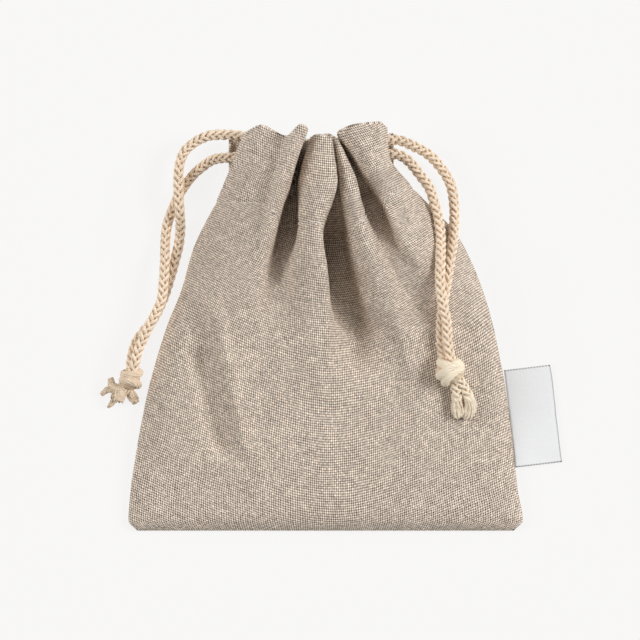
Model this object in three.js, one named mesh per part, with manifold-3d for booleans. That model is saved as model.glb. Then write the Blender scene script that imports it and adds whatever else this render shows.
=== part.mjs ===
// A small linen drawstring pouch lying on its back, with its mouth drawn in.
// Millimetres. X runs across the pouch, Y from the bottom fold to the mouth, Z up from the surface.
import * as THREE from "three";
import { mergeVertices } from "three/addons/utils/BufferGeometryUtils.js";
import Module from "manifold-3d";

const wasm = await Module();
wasm.setup();

// Driving dimensions of the cloth.
const FLAT_WIDTH = 120; // between the side seams, laid flat
const FLAT_LENGTH = 124; // from the bottom fold to the mouth
const CHANNEL_DEPTH = 25; // turned-down top that the cords run in
const CLOTH = 1.0; // thickness of one layer
const CHANNEL_CLOTH = 1.2; // thickness where the top is turned down
const SEAM_INSET = 1.7; // width of the closed edge at the side seams and bottom fold
const ORIGIN_Y = 62; // the origin lies under the middle of the length
const STITCH = FLAT_LENGTH - CHANNEL_DEPTH; // length at which the side seams end

// Heights of the stuffed-out front and of the seams, at lengths along the cloth.
const EDGE_HEIGHT = 1.5;
const EDGE_RISE = { height: 1.0, reach: 2.8 }; // how the front stands off the back beside a seam
const BELLY = { length: 61, height: 14.5 };
const CROWN_POWER = { across: 0.62, along: 0.8 };
const SEAM_HEIGHT = 4;

// Driving dimensions of the cords and the label.
const CORD = 3.5;
const CORD_SIDES = 8;
const CORD_STEPS = 26;
const REST_GAP = { cloth: 0.6, surface: 0.25 }; // between a cord and what it lies on
const LABEL = {
  width: 13.6,
  length: 29.8,
  layer: 0.45,
  gap: 0.5,
  tilt: 6.8,
  droop: 5.6,
  x: 54.6,
  y: 48.8,
  z: 1.35,
};

// Front of the pouch: one row for each line that runs down the cloth, from the left seam to the right.
// cloth is its place across the flat width. Each other column is a height along the cloth, where the line
// lies at [x, y, z], or at [x, z] where y follows from its neighbours. belly is what is left of the fold.
const FRONT_LINES = [
  { name: "left seam", cloth: 0, mouth: [-25, 121.5, 14], channel: [-28.5, 14],
    stitch: [-33.5, 99.5, 9], shoulder: [-40, 6], belly: 0 },
  { name: "left hump", cloth: 9, mouth: [-19.5, 123.5, 18.5], channel: [-21, 19],
    stitch: [-25, 99.5, 17], shoulder: [-29.5, 14], belly: 0 },
  { name: "left panel", cloth: 17, mouth: [-13, 121.5, 20], channel: [-14.5, 21.5],
    stitch: [-18, 99, 20.5], shoulder: [-22, 18], belly: 0.2 },
  { name: "first crest", cloth: 25, mouth: [-8, 124, 25], channel: [-10.5, 25],
    stitch: [-15, 97.5, 23], shoulder: [-18, 19.5], belly: 0.4 },
  { name: "first edge", cloth: 28.5, mouth: [-5.3, 122.5, 22.5], channel: [-8.8, 22.5],
    stitch: [-13.2, 96, 21.5], shoulder: [-16, 19.3], belly: 0 },
  { name: "first valley", cloth: 39, mouth: [-6.5, 117.5, 15], channel: [-10, 14.5],
    stitch: [-12.6, 92.5, 16.5], shoulder: [-13.5, 17.8], belly: -0.6 },
  { name: "middle rise", cloth: 48.5, mouth: [-5, 119.5, 17.5], channel: [-8, 18],
    stitch: [-9.5, 93.5, 19.5], shoulder: [-9, 19.8], belly: 0.4 },
  { name: "middle panel", cloth: 54, mouth: [-2.6, 120, 20], channel: [-3, 22.5],
    stitch: [-5, 94, 22.5], shoulder: [-4.5, 22], belly: 1.2 },
  { name: "middle crest", cloth: 59.5, mouth: [-0.5, 119.5, 21], channel: [1.6, 24],
    stitch: [-1.2, 93.5, 24], shoulder: [-1.5, 22.8], belly: 1.6 },
  { name: "middle edge", cloth: 62, mouth: [0.4, 119, 19], channel: [3.0, 21.5],
    stitch: [0.4, 92, 21.5], shoulder: [0.4, 20.8], belly: 0.4 },
  { name: "middle valley", cloth: 72.5, mouth: [-0.6, 116.5, 14], channel: [1.4, 14.3],
    stitch: [2.6, 87, 13.5], shoulder: [4, 13.5], belly: -3.2 },
  { name: "slim rise", cloth: 81.5, mouth: [0.9, 118.5, 17], channel: [3.6, 17.5],
    stitch: [6.5, 89.5, 18], shoulder: [9, 17.3], belly: -1 },
  { name: "slim crest", cloth: 86.5, mouth: [3.2, 119, 20.2], channel: [7.1, 21.8],
    stitch: [11.4, 93.5, 22], shoulder: [15, 20], belly: 0.8 },
  { name: "slim edge", cloth: 89, mouth: [5.1, 118.5, 18], channel: [9.7, 19.8],
    stitch: [13.4, 94.5, 20.5], shoulder: [17.8, 19.3], belly: 0.4 },
  { name: "right valley", cloth: 98, mouth: [5.2, 117.5, 14], channel: [9.6, 14.3],
    stitch: [14.8, 96.5, 17], shoulder: [20.8, 17.8], belly: -0.4 },
  { name: "right rise", cloth: 106, mouth: [6.8, 120.5, 18], channel: [11.6, 18.5],
    stitch: [16.6, 99.5, 18.5], shoulder: [24.2, 17], belly: 0 },
  { name: "right panel", cloth: 111, mouth: [10.5, 123.5, 22], channel: [13.5, 21.5],
    stitch: [20, 102, 18.5], shoulder: [28.7, 15], belly: 0 },
  { name: "right hump", cloth: 115.5, mouth: [16.3, 124.5, 20.5], channel: [16.9, 18.5],
    stitch: [23.6, 103.5, 15], shoulder: [33.3, 11], belly: 0 },
  { name: "right seam", cloth: 120, mouth: [18.7, 122.5, 14], channel: [19.3, 14],
    stitch: [26.8, 104, 9], shoulder: [40.2, 6], belly: 0 },
];
const VALLEY_FLOOR = { width: 1.7, cloth: 2.4 };
// Lengths along the cloth of those columns.
const CHANNEL_AT = 113;
const SHOULDER_AT = 86;
const SHOULDER_DROP = 0.72; // share of a line's drop at the stitches that is left at the shoulder
const HALF_AT = 73.5;
const HALF_DROP = 0.52;
const BELLY_DROP = 0.3;

// Side seams below the shoulder: one row for each height.
const SEAMS = [
  { y: 0, left: -57.4, right: 57.2 },
  { y: 3, left: -60, right: 60 },
  { y: 12, left: -59.4, right: 58.6 },
  { y: 24, left: -57.6, right: 57.2 },
  { y: 40, left: -54.6, right: 55.2 },
  { y: 52, left: -51.8, right: 53.0 },
  { y: 61, left: -48.6, right: 50.9 },
  { y: 73, left: -43.8, right: 46.9 },
  { y: 80, left: -41.8, right: 43.8 },
];

// Back of the pouch, which is gathered evenly and lies on the surface below the channel.
const BACK = {
  folds: 5,
  foldHeight: 4.6,
  mouthLeft: -29.6,
  mouthRight: 19,
  mouthY: 119.5,
  mouthWave: 1,
  edgeHeight: 5,
  seamReach: { below: 2.6, above: 13 }, // how far in from a seam the back comes down to the surface
};

// Cords, from inside the pouch to the knot: one row for each bend, as x, y, the least height, and how far the
// cord is lifted off what it rests on. The first rows, as many as inside says, are held between the layers.
const CORDS = [
  {
    name: "left_cord_upper",
    inside: 2,
    route: [
      [-17.5, 117.6, 9.8, 0],
      [-25.1, 119.9, 9.9, 0],
      [-32.1, 120.4, 9.2, 0],
      [-35.7, 120.0, 8.2, 0],
      [-39.4, 118.3, 7.0, 0],
      [-42.9, 115.2, 6.4, 0],
      [-44.4, 111.2, 6.2, 0],
      [-44.8, 106.0, 6.3, 0],
      [-44.6, 100.6, 6.3, 0],
      [-44.3, 96.5, 5.5, 0],
      [-44.2, 92.0, 2.8, 0],
      [-44.6, 87.5, 0, 0],
      [-45.9, 82.1, 0, 0],
      [-47.5, 76.3, 0, 0],
      [-49.6, 70.2, 0, 0],
      [-52.6, 64.1, 0, 0],
      [-55.5, 60.4, 0, 0],
      [-57.6, 57.4, 0, 0],
      [-58.7, 54.2, 0, 0],
      [-59.2, 51.2, 0, 0],
    ],
  },
  {
    name: "left_cord_lower",
    inside: 2,
    route: [
      [-18.5, 113.3, 9, 0],
      [-28.1, 113.5, 9.2, 0],
      [-33.9, 112.9, 5.8, 0],
      [-37.6, 110.6, 4, 0],
      [-40.6, 107.9, 2.4, 0],
      [-43.7, 103.7, 0, 0],
      [-46.3, 98.5, 0, 0],
      [-48.2, 93.0, 0, 0],
      [-48.8, 87.5, 2.6, 0],
      [-48.9, 82.0, 4.8, 0],
      [-49.2, 76.3, 6.0, 0],
      [-49.9, 70.2, 6.2, 0],
      [-52.5, 64.4, 6.2, 0],
      [-54.2, 61.1, 6.2, 0],
      [-55.6, 58.0, 6.1, 0],
      [-56.9, 55.0, 6.1, 0],
      [-57.9, 51.2, 6.1, 0],
    ],
  },
  {
    name: "right_cord_outer",
    inside: 2,
    route: [
      [12, 117.2, 9.3, 0],
      [21.4, 118.8, 9, 0],
      [26.9, 116.8, 7.6, 0],
      [31.4, 114.3, 6.4, 0],
      [35.1, 110.3, 5.4, 0],
      [37.7, 106.1, 5.0, 0],
      [38.9, 101.5, 5.4, 0],
      [39.2, 96.9, 7.0, 0],
      [39.1, 92.3, 0, 0.3],
      [38.6, 87.5, 0, 0.2],
      [37.6, 81.7, 0, 0],
      [36.7, 75.9, 0, 0],
      [35.7, 69.9, 0, 0],
      [35.0, 64.1, 0, 0],
      [34.9, 58.0, 0, 0],
      [35.5, 53.2, 0, 0],
    ],
  },
  {
    name: "right_cord_inner",
    inside: 2,
    route: [
      [12, 112.8, 9.4, 0],
      [21.1, 114.5, 9.2, 0],
      [25.0, 112.5, 8.8, 0],
      [28.7, 108.1, 8.4, 0],
      [31.4, 104.5, 9.0, 0],
      [33.0, 99.9, 10.4, 0],
      [34.3, 94.4, 0, 0.2],
      [34.9, 88.3, 0, 0.4],
      [34.8, 82.0, 0, 1.8],
      [34.6, 75.9, 0, 3.2],
      [35.2, 69.8, 0, 3.9],
      [36.5, 64.1, 0, 3.9],
      [36.9, 58.0, 0, 4.1],
      [37.1, 53.2, 0, 4.3],
    ],
  },
];

// Knots at the cords' lower ends. Wraps and ends are placed from the knot's middle.
const KNOTS = [
  {
    name: "left_knot",
    middle: [-59.3, 46.2, 4.1],
    core: [3.2, 3.6, 3.5],
    wraps: [
      { radius: 2.3, thickness: 2.6, lean: 10, turn: 6, middle: [0.3, 1.6, 0] },
      { radius: 2.4, thickness: 2.6, lean: -10, turn: -16, middle: [-0.1, -1.1, 0] },
    ],
    ends: [
      { from: [-1.2, -1, -1.6], to: [-3.9, -4.4, -2.1], root: 1.8, tip: 1.9, sides: 6 },
      { from: [-3, -3.2, -1.9], to: [-6.6, -0.2, -2.1], root: 1.3, tip: 0.8, sides: 4 },
      { from: [-3, -3.6, -1.9], to: [-8.2, -4.4, -2.6], root: 1.3, tip: 0.7, sides: 4 },
      { from: [-3, -3.6, -1.9], to: [-5.9, -7.6, -2.6], root: 1.3, tip: 0.7, sides: 4 },
      { from: [-1, -2, -1.7], to: [1.2, -7, -2.3], root: 1.6, tip: 1.3, sides: 6 },
    ],
  },
  {
    name: "right_knot",
    middle: [37.5, 48.5, 16],
    core: [4, 3.5, 3.1],
    wraps: [
      { radius: 2.8, thickness: 2.8, lean: 14, turn: -36, middle: [-1.2, 0.5, 0] },
      { radius: 2.6, thickness: 2.8, lean: -10, turn: -48, middle: [1.2, -0.7, -0.3] },
    ],
    ends: [
      { from: [1.6, -1, -1.2], to: [6.3, -9.6, -3.2], root: 1.8, tip: 1.8, sides: 6 },
      { from: [6.3, -9.2, -3.1], to: [4.7, -15, -4.9], root: 1.8, tip: 1.6, sides: 6 },
      { from: [0.8, -1.4, -1.2], to: [2.7, -14.4, -4.4], root: 1.7, tip: 1.7, sides: 6 },
    ],
  },
];

// Value at x of the smooth curve through the points, which never swings past them.
function smooth(xs, ys, x) {
  const last = xs.length - 1;
  if (x <= xs[0]) return ys[0];
  if (x >= xs[last]) return ys[last];
  let k = 0;
  while (x > xs[k + 1]) k++;
  const slope = (i) => (ys[i + 1] - ys[i]) / (xs[i + 1] - xs[i]);
  const tangent = (i) => {
    if (i === 0) return slope(0);
    if (i === last) return slope(last - 1);
    const [a, b] = [slope(i - 1), slope(i)];
    if (a * b <= 0) return 0;
    const [h0, h1] = [xs[i] - xs[i - 1], xs[i + 1] - xs[i]];
    const [w0, w1] = [2 * h1 + h0, h1 + 2 * h0];
    return (w0 + w1) / (w0 / a + w1 / b);
  };
  const h = xs[k + 1] - xs[k];
  const t = (x - xs[k]) / h;
  const [t2, t3] = [t * t, t * t * t];
  return (
    (2 * t3 - 3 * t2 + 1) * ys[k] +
    (t3 - 2 * t2 + t) * h * tangent(k) +
    (3 * t2 - 2 * t3) * ys[k + 1] +
    (t3 - t2) * h * tangent(k + 1)
  );
}

const seamYs = SEAMS.map((row) => row.y);
const seamX = (side, y) => smooth(seamYs, SEAMS.map((row) => row[side]), y);
const crownRise = (y) => (BELLY.height - EDGE_HEIGHT) * (y / BELLY.length) ** CROWN_POWER.along;
const crownHeight = (y) => EDGE_HEIGHT + crownRise(y);
const seamHeight = (y) => EDGE_HEIGHT + (SEAM_HEIGHT - EDGE_HEIGHT) * Math.min(1, y / BELLY.length);

// Place of the front's cloth below the folds: evenly spread between the seams, over the crown.
function bellyPoint(cloth, y, left = 0) {
  const share = cloth / FLAT_WIDTH;
  const x = seamX("left", y) + share * (seamX("right", y) - seamX("left", y));
  const rise = Math.sin(Math.PI * share) ** CROWN_POWER.across;
  const inside = Math.min(y, cloth, FLAT_WIDTH - cloth);
  const edge = EDGE_RISE.height * Math.min(1, inside / EDGE_RISE.reach);
  return [x, y, seamHeight(y) + (crownHeight(y) - seamHeight(y)) * rise + edge + left];
}

// A valley has a floor as wide as VALLEY_FLOOR, so its row makes two lines, one for each side of the floor.
function linesOf(row) {
  if (!row.name.endsWith("valley")) return [row];
  const shifted = (side) => {
    const move = ([x, ...rest]) => [x + (side * VALLEY_FLOOR.width) / 2, ...rest];
    const cloth = row.cloth + (side * VALLEY_FLOOR.cloth) / 2;
    return { ...row, cloth, mouth: move(row.mouth), channel: move(row.channel),
    stitch: move(row.stitch), shoulder: move(row.shoulder) };
  };
  return [shifted(-1), shifted(1)];
}

// A fold line of the front as its stations along the cloth.
function stationsOf(line) {
  const drop = STITCH - line.stitch[1];
  const faded = (at) => line.belly * (at / BELLY.length) ** 3;
  const below = [0, 3, 12, 25, 40].map((at) => [at, ...bellyPoint(line.cloth, at, faded(at))]);
  const channelShare = (CHANNEL_AT - STITCH) / CHANNEL_DEPTH;
  const channelY = line.stitch[1] + channelShare * (line.mouth[1] - line.stitch[1]);
  const [bellyX, , bellyZ] = bellyPoint(line.cloth, BELLY.length, line.belly);
  const nearSeam = (2 * (line.cloth / FLAT_WIDTH) - 1) ** 4;
  const evenX = (bellyX + line.shoulder[0]) / 2;
  const halfX = evenX + nearSeam * (bellyPoint(line.cloth, HALF_AT)[0] - evenX);
  const halfZ = (bellyZ + line.shoulder[1]) / 2;
  return [
    ...below,
    [BELLY.length, bellyX, BELLY.length - BELLY_DROP * drop, bellyZ],
    [HALF_AT, halfX, HALF_AT - HALF_DROP * drop, halfZ],
    [SHOULDER_AT, line.shoulder[0], SHOULDER_AT - SHOULDER_DROP * drop, line.shoulder[1]],
    [STITCH, ...line.stitch],
    [CHANNEL_AT, line.channel[0], channelY, line.channel[1]],
    [FLAT_LENGTH, ...line.mouth],
  ];
}

const lines = FRONT_LINES.flatMap(linesOf);
const stations = lines.map(stationsOf);
const lineCloths = lines.map((line) => line.cloth);

// A point of the front, at a place across the cloth and a length along it.
function frontPoint(cloth, length) {
  const along = (k) => stations.map((rows) => smooth(rows.map((r) => r[0]), rows.map((r) => r[k]), length));
  return [1, 2, 3].map((k) => smooth(lineCloths, along(k), cloth));
}

// A point of the back. It shares the front's seams up to the stitches, and is open along the channel.
function backPoint(cloth, length) {
  const share = cloth / FLAT_WIDTH;
  const [left, right] = [frontPoint(0, length), frontPoint(FLAT_WIDTH, length)];
  const [leftTop, rightTop] = [frontPoint(0, FLAT_LENGTH), frontPoint(FLAT_WIDTH, FLAT_LENGTH)];
  const across = (from, to) => from + share * (to - from);
  const open = Math.max(0, (length - STITCH) / CHANNEL_DEPTH);
  const opened = Math.min(1, open * 2);
  const fold = 2 * Math.PI * BACK.folds * share;
  const leftX = left[0] + (BACK.mouthLeft - left[0]) * opened;
  const rightX = right[0] + (BACK.mouthRight - right[0]) * opened;
  const x = across(leftX, rightX);
  const mouthY = BACK.mouthY + BACK.mouthWave * Math.cos(fold);
  const y = across(left[1], right[1]) + (mouthY - across(leftTop[1], rightTop[1])) * open * open;
  const gathered = THREE.MathUtils.smoothstep(length, BELLY.length, STITCH);
  const { below, above } = BACK.seamReach;
  const reach = below + (above - below) * THREE.MathUtils.smoothstep(length, BELLY.length / 2, STITCH);
  const edge = Math.max(0, 1 - Math.min(cloth, FLAT_WIDTH - cloth) / reach) ** 1.5;
  const seamZ = across(left[2], right[2]);
  const wave = ((1 - Math.cos(fold)) / 2) * BACK.foldHeight * gathered;
  return [x, y, (seamZ + (BACK.edgeHeight - seamZ) * opened) * edge + wave * (1 - edge)];
}

// Columns across the cloth, closer together on the folds, and rows along it.
const COLUMN_STEP = 2.9;
const columns = [0];
for (let i = 1; i < lineCloths.length; i++) {
  const [from, to] = [lineCloths[i - 1], lineCloths[i]];
  const parts = to - from < COLUMN_STEP ? 1 : Math.max(2, Math.round((to - from) / COLUMN_STEP));
  for (let k = 1; k <= parts; k++) columns.push(from + ((to - from) * k) / parts);
}
const ROWS = { base: [0, 3, 7], body: 8, neck: 7, channel: 9 };
function span(from, to, parts) {
  return Array.from({ length: parts }, (_, k) => from + ((to - from) * (k + 1)) / parts);
}
const rows = [
  ...ROWS.base,
  ...span(ROWS.base.at(-1), BELLY.length, ROWS.body),
  ...span(BELLY.length, STITCH, ROWS.neck),
  ...span(STITCH, FLAT_LENGTH, ROWS.channel),
];

// The back's columns start as the front's at the bottom fold and spread out evenly above it.
function backCloth(i, j) {
  const even = (FLAT_WIDTH * i) / (columns.length - 1);
  return columns[i] + (even - columns[i]) * Math.min(1, rows[j] / BELLY.length);
}

// Thick cloth: the outer face, the same face set inwards by the thickness, and a rim round the mouth and slits.
function pouchGeometry() {
  const [across, up] = [columns.length - 1, rows.length - 1];
  const outer = [];
  const inward = [];
  const seen = new Map();
  const vertex = (side, j, i) => {
    const onSeam = (i === 0 || i === across) && rows[j] <= STITCH;
    const key = j === 0 || onSeam ? `seam ${j} ${i}` : `${side} ${j} ${i}`;
    if (!seen.has(key)) {
      seen.set(key, outer.length);
      const onFront = side === "front";
      const point = onFront ? frontPoint(columns[i], rows[j]) : backPoint(backCloth(i, j), rows[j]);
      outer.push(new THREE.Vector3(...point));
      const closed = new THREE.Vector3(onSeam ? (i === 0 ? 1 : -1) : 0, j === 0 ? 1 : 0, 0);
      inward.push({ closed, thickness: rows[j] > STITCH ? CHANNEL_CLOTH : CLOTH });
    }
    return seen.get(key);
  };
  const faces = [];
  for (const side of ["front", "back"])
    for (let j = 0; j < up; j++)
      for (let i = 0; i < across; i++) {
        const [a, b] = [vertex(side, j, i), vertex(side, j, i + 1)];
        const [c, d] = [vertex(side, j + 1, i + 1), vertex(side, j + 1, i)];
        faces.push(...(side === "front" ? [[a, b, c], [a, c, d]] : [[a, c, b], [a, d, c]]));
      }
  const normals = outer.map(() => new THREE.Vector3());
  for (const [a, b, c] of faces) {
    const ab = outer[b].clone().sub(outer[a]);
    const normal = outer[c].clone().sub(outer[a]);
    normal.crossVectors(ab, normal);
    for (const v of [a, b, c]) normals[v].add(normal);
  }
  const inner = outer.map((point, v) => {
    const { closed, thickness } = inward[v];
    if (closed.lengthSq() > 0) return point.clone().addScaledVector(closed, SEAM_INSET);
    return point.clone().addScaledVector(normals[v].normalize(), -thickness);
  });
  const turned = (v) => v + outer.length;
  const edges = new Map();
  for (const [a, b, c] of faces)
    for (const [p, q] of [[a, b], [b, c], [c, a]])
      if (!edges.delete(`${q} ${p}`)) edges.set(`${p} ${q}`, [p, q]);
  const rim = [...edges.values()].flatMap(([p, q]) => [[q, p, turned(p)], [q, turned(p), turned(q)]]);
  const lining = faces.map(([a, b, c]) => [turned(a), turned(c), turned(b)]);
  const positions = [...outer, ...inner].flatMap((p) => p.toArray());
  const geometry = new THREE.BufferGeometry();
  geometry.setAttribute("position", new THREE.Float32BufferAttribute(positions, 3));
  geometry.setIndex([...faces, ...lining, ...rim].flat());
  geometry.computeVertexNormals();
  return geometry;
}

// Height of the cloth's top over a point, or of the surface where there is no cloth.
const frontGrid = rows.map((length) => columns.map((cloth) => frontPoint(cloth, length)));
function topAt(x, y) {
  let top = 0;
  const test = (a, b, c) => {
    const area = (b[0] - a[0]) * (c[1] - a[1]) - (c[0] - a[0]) * (b[1] - a[1]);
    const u = ((x - a[0]) * (c[1] - a[1]) - (c[0] - a[0]) * (y - a[1])) / area;
    const v = ((b[0] - a[0]) * (y - a[1]) - (x - a[0]) * (b[1] - a[1])) / area;
    if (u < 0 || v < 0 || u + v > 1) return;
    top = Math.max(top, a[2] + u * (b[2] - a[2]) + v * (c[2] - a[2]));
  };
  for (let j = 1; j < rows.length; j++)
    for (let i = 1; i < columns.length; i++) {
      const [a, b] = [frontGrid[j - 1][i - 1], frontGrid[j - 1][i]];
      const [c, d] = [frontGrid[j][i], frontGrid[j][i - 1]];
      test(a, b, c);
      test(a, c, d);
    }
  return top;
}

// Height of a cord's middle over a point, where it rests on the cloth or the surface.
function restAt(x, y) {
  const reach = CORD / 2;
  const around = [[reach, 0], [-reach, 0], [0, reach], [0, -reach]];
  const beside = around.map(([dx, dy]) => topAt(x + dx, y + dy) - reach / 3);
  const top = Math.max(topAt(x, y), ...beside);
  return reach + top + (top > 0 ? REST_GAP.cloth : REST_GAP.surface);
}

function cordPoints(cord) {
  const height = ([x, y, z, lift], k) => (k < cord.inside ? z : Math.max(z, restAt(x, y) + lift));
  return cord.route.map((row, k) => new THREE.Vector3(row[0], row[1], height(row, k)));
}

function cordGeometry(cord) {
  const corners = Array.from({ length: CORD_SIDES }, (_, k) => {
    const turn = (2 * Math.PI * (k + 0.5)) / CORD_SIDES;
    return new THREE.Vector2((Math.cos(turn) * CORD) / 2, (Math.sin(turn) * CORD) / 2);
  });
  const extrudePath = new THREE.CatmullRomCurve3(cordPoints(cord), false, "centripetal");
  const section = new THREE.Shape(corners);
  return new THREE.ExtrudeGeometry(section, { steps: CORD_STEPS, bevelEnabled: false, extrudePath });
}

// The label is one ribbon folded back on itself, with its open side at the seam.
function labelGeometry() {
  const { width, layer, gap } = LABEL;
  const height = 2 * layer + gap;
  const profile = new THREE.Shape();
  profile.moveTo(0, 0);
  profile.lineTo(width - height / 2, 0);
  profile.absarc(width - height / 2, height / 2, height / 2, -Math.PI / 2, Math.PI / 2, false);
  profile.lineTo(0, height);
  profile.lineTo(0, height - layer);
  profile.lineTo(width - height / 2, height - layer);
  profile.absarc(width - height / 2, height / 2, gap / 2, Math.PI / 2, -Math.PI / 2, true);
  profile.lineTo(0, layer);
  profile.closePath();
  return new THREE.ExtrudeGeometry(profile, { depth: LABEL.length, bevelEnabled: false, curveSegments: 6 })
    .rotateX(Math.PI / 2)
    .rotateY(LABEL.droop * THREE.MathUtils.DEG2RAD)
    .rotateZ(LABEL.tilt * THREE.MathUtils.DEG2RAD)
    .translate(LABEL.x, LABEL.y, LABEL.z);
}

// Booleans on closed meshes.
function solidOf(geometry) {
  const bare = new THREE.BufferGeometry();
  bare.setAttribute("position", geometry.getAttribute("position"));
  bare.setIndex(geometry.index);
  const merged = mergeVertices(bare, 1e-4);
  const vertProperties = new Float32Array(merged.getAttribute("position").array);
  const triVerts = new Uint32Array(merged.index.array);
  return new wasm.Manifold(new wasm.Mesh({ numProp: 3, vertProperties, triVerts }));
}

function geometryOf(solid) {
  const mesh = solid.getMesh();
  const geometry = new THREE.BufferGeometry();
  geometry.setAttribute("position", new THREE.Float32BufferAttribute(mesh.vertProperties, 3));
  geometry.setIndex(Array.from(mesh.triVerts));
  geometry.computeVertexNormals();
  return geometry;
}

// A tapered end of cord between two points.
function endGeometry(end) {
  const [from, to] = [new THREE.Vector3(...end.from), new THREE.Vector3(...end.to)];
  const along = to.clone().sub(from);
  const turn = new THREE.Quaternion().setFromUnitVectors(new THREE.Vector3(0, 1, 0), along.clone().normalize());
  return new THREE.CylinderGeometry(end.tip, end.root, along.length(), end.sides)
    .applyQuaternion(turn)
    .translate(...from.add(to).divideScalar(2).toArray());
}

// A knot is a core with wraps of cord round it, and the cords' ends below it.
function knotGeometry(knot) {
  const [rx, ry, rz] = knot.core;
  const pieces = [new THREE.SphereGeometry(1, 14, 10).scale(rx, ry, rz)];
  for (const wrap of knot.wraps) {
    const ring = new THREE.TorusGeometry(wrap.radius, wrap.thickness / 2, 7, 16)
      .rotateX(THREE.MathUtils.degToRad(90 + wrap.lean))
      .rotateZ(THREE.MathUtils.degToRad(wrap.turn))
      .translate(...wrap.middle);
    pieces.push(ring);
  }
  for (const end of knot.ends) pieces.push(endGeometry(end));
  const whole = pieces.map(solidOf).reduce((sum, piece) => sum.add(piece));
  return geometryOf(whole).translate(...knot.middle);
}

const linen = new THREE.MeshStandardMaterial({ color: 0xb3a698, roughness: 0.95, metalness: 0 });
const cotton = new THREE.MeshStandardMaterial({ color: 0xe6cda9, roughness: 0.9, metalness: 0 });
const satin = new THREE.MeshStandardMaterial({ color: 0xeceded, roughness: 0.5, metalness: 0 });

const pouch = new THREE.Group();
pouch.position.y = -ORIGIN_Y;

function addPiece(name, geometry, material) {
  const mesh = new THREE.Mesh(geometry, material);
  mesh.name = name;
  pouch.add(mesh);
  return mesh;
}

addPiece("pouch_cloth", pouchGeometry(), linen);

addPiece("label", labelGeometry(), satin);
for (const cord of CORDS) addPiece(cord.name, cordGeometry(cord), cotton);
for (const knot of KNOTS) addPiece(knot.name, knotGeometry(knot), cotton);

export default pouch;
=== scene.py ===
import math

import bpy
import numpy as np
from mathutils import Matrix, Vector


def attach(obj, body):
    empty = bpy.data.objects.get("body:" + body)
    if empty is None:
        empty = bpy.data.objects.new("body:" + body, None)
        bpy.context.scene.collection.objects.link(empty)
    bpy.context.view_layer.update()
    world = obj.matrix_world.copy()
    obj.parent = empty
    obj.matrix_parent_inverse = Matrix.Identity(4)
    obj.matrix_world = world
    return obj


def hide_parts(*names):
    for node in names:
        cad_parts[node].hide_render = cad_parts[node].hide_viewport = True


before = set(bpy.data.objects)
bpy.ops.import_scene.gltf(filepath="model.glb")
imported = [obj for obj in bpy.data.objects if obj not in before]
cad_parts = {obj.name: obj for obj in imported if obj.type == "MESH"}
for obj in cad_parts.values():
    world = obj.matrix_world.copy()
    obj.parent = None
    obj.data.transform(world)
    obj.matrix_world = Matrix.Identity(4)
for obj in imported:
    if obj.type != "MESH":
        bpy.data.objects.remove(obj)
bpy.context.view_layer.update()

bl_info = {
    "name": "Linen drawstring pouch",
    "version": (1, 0, 0),
    "blender": (4, 5, 0),
    "location": "3D View > Sidebar > Pouch",
    "description": "Dresses the drawstring pouch with woven cloth, braided cords, knots and a ribbon label",
    "category": "Object",
}

MM = 0.001

# Sizes of the cloth, in millimetres. Y runs from the bottom fold; the frame's origin is ORIGIN_Y along it.
FLAT_WIDTH = 120.0
FLAT_LENGTH = 124.0
CHANNEL_DEPTH = 25.0
STITCH = FLAT_LENGTH - CHANNEL_DEPTH
ORIGIN_Y = 62.0
# The body's front: height of its edge, of the seams and of its crown, and how round the crown is.
EDGE_HEIGHT = 1.5
EDGE_RISE = {"height": 1.0, "reach": 2.8}
BELLY = {"length": 61.0, "height": 14.5}
CROWN_POWER = {"across": 0.62, "along": 0.8}
SEAM_HEIGHT = 4.0
VALLEY_FLOOR = {"width": 1.7, "cloth": 2.4}
# Stations of the front along the cloth, and how much of the stitches' fall each of them shares.
CHANNEL_AT = 113.0
SHOULDER_AT = 86.0
SHOULDER_DROP = 0.72
HALF_AT = 73.5
HALF_DROP = 0.52
BELLY_DROP = 0.3
# Heights under the belly at which the table of the front is worked out.
BODY_HEIGHTS = (0, 3, 12, 25, 40)

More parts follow.
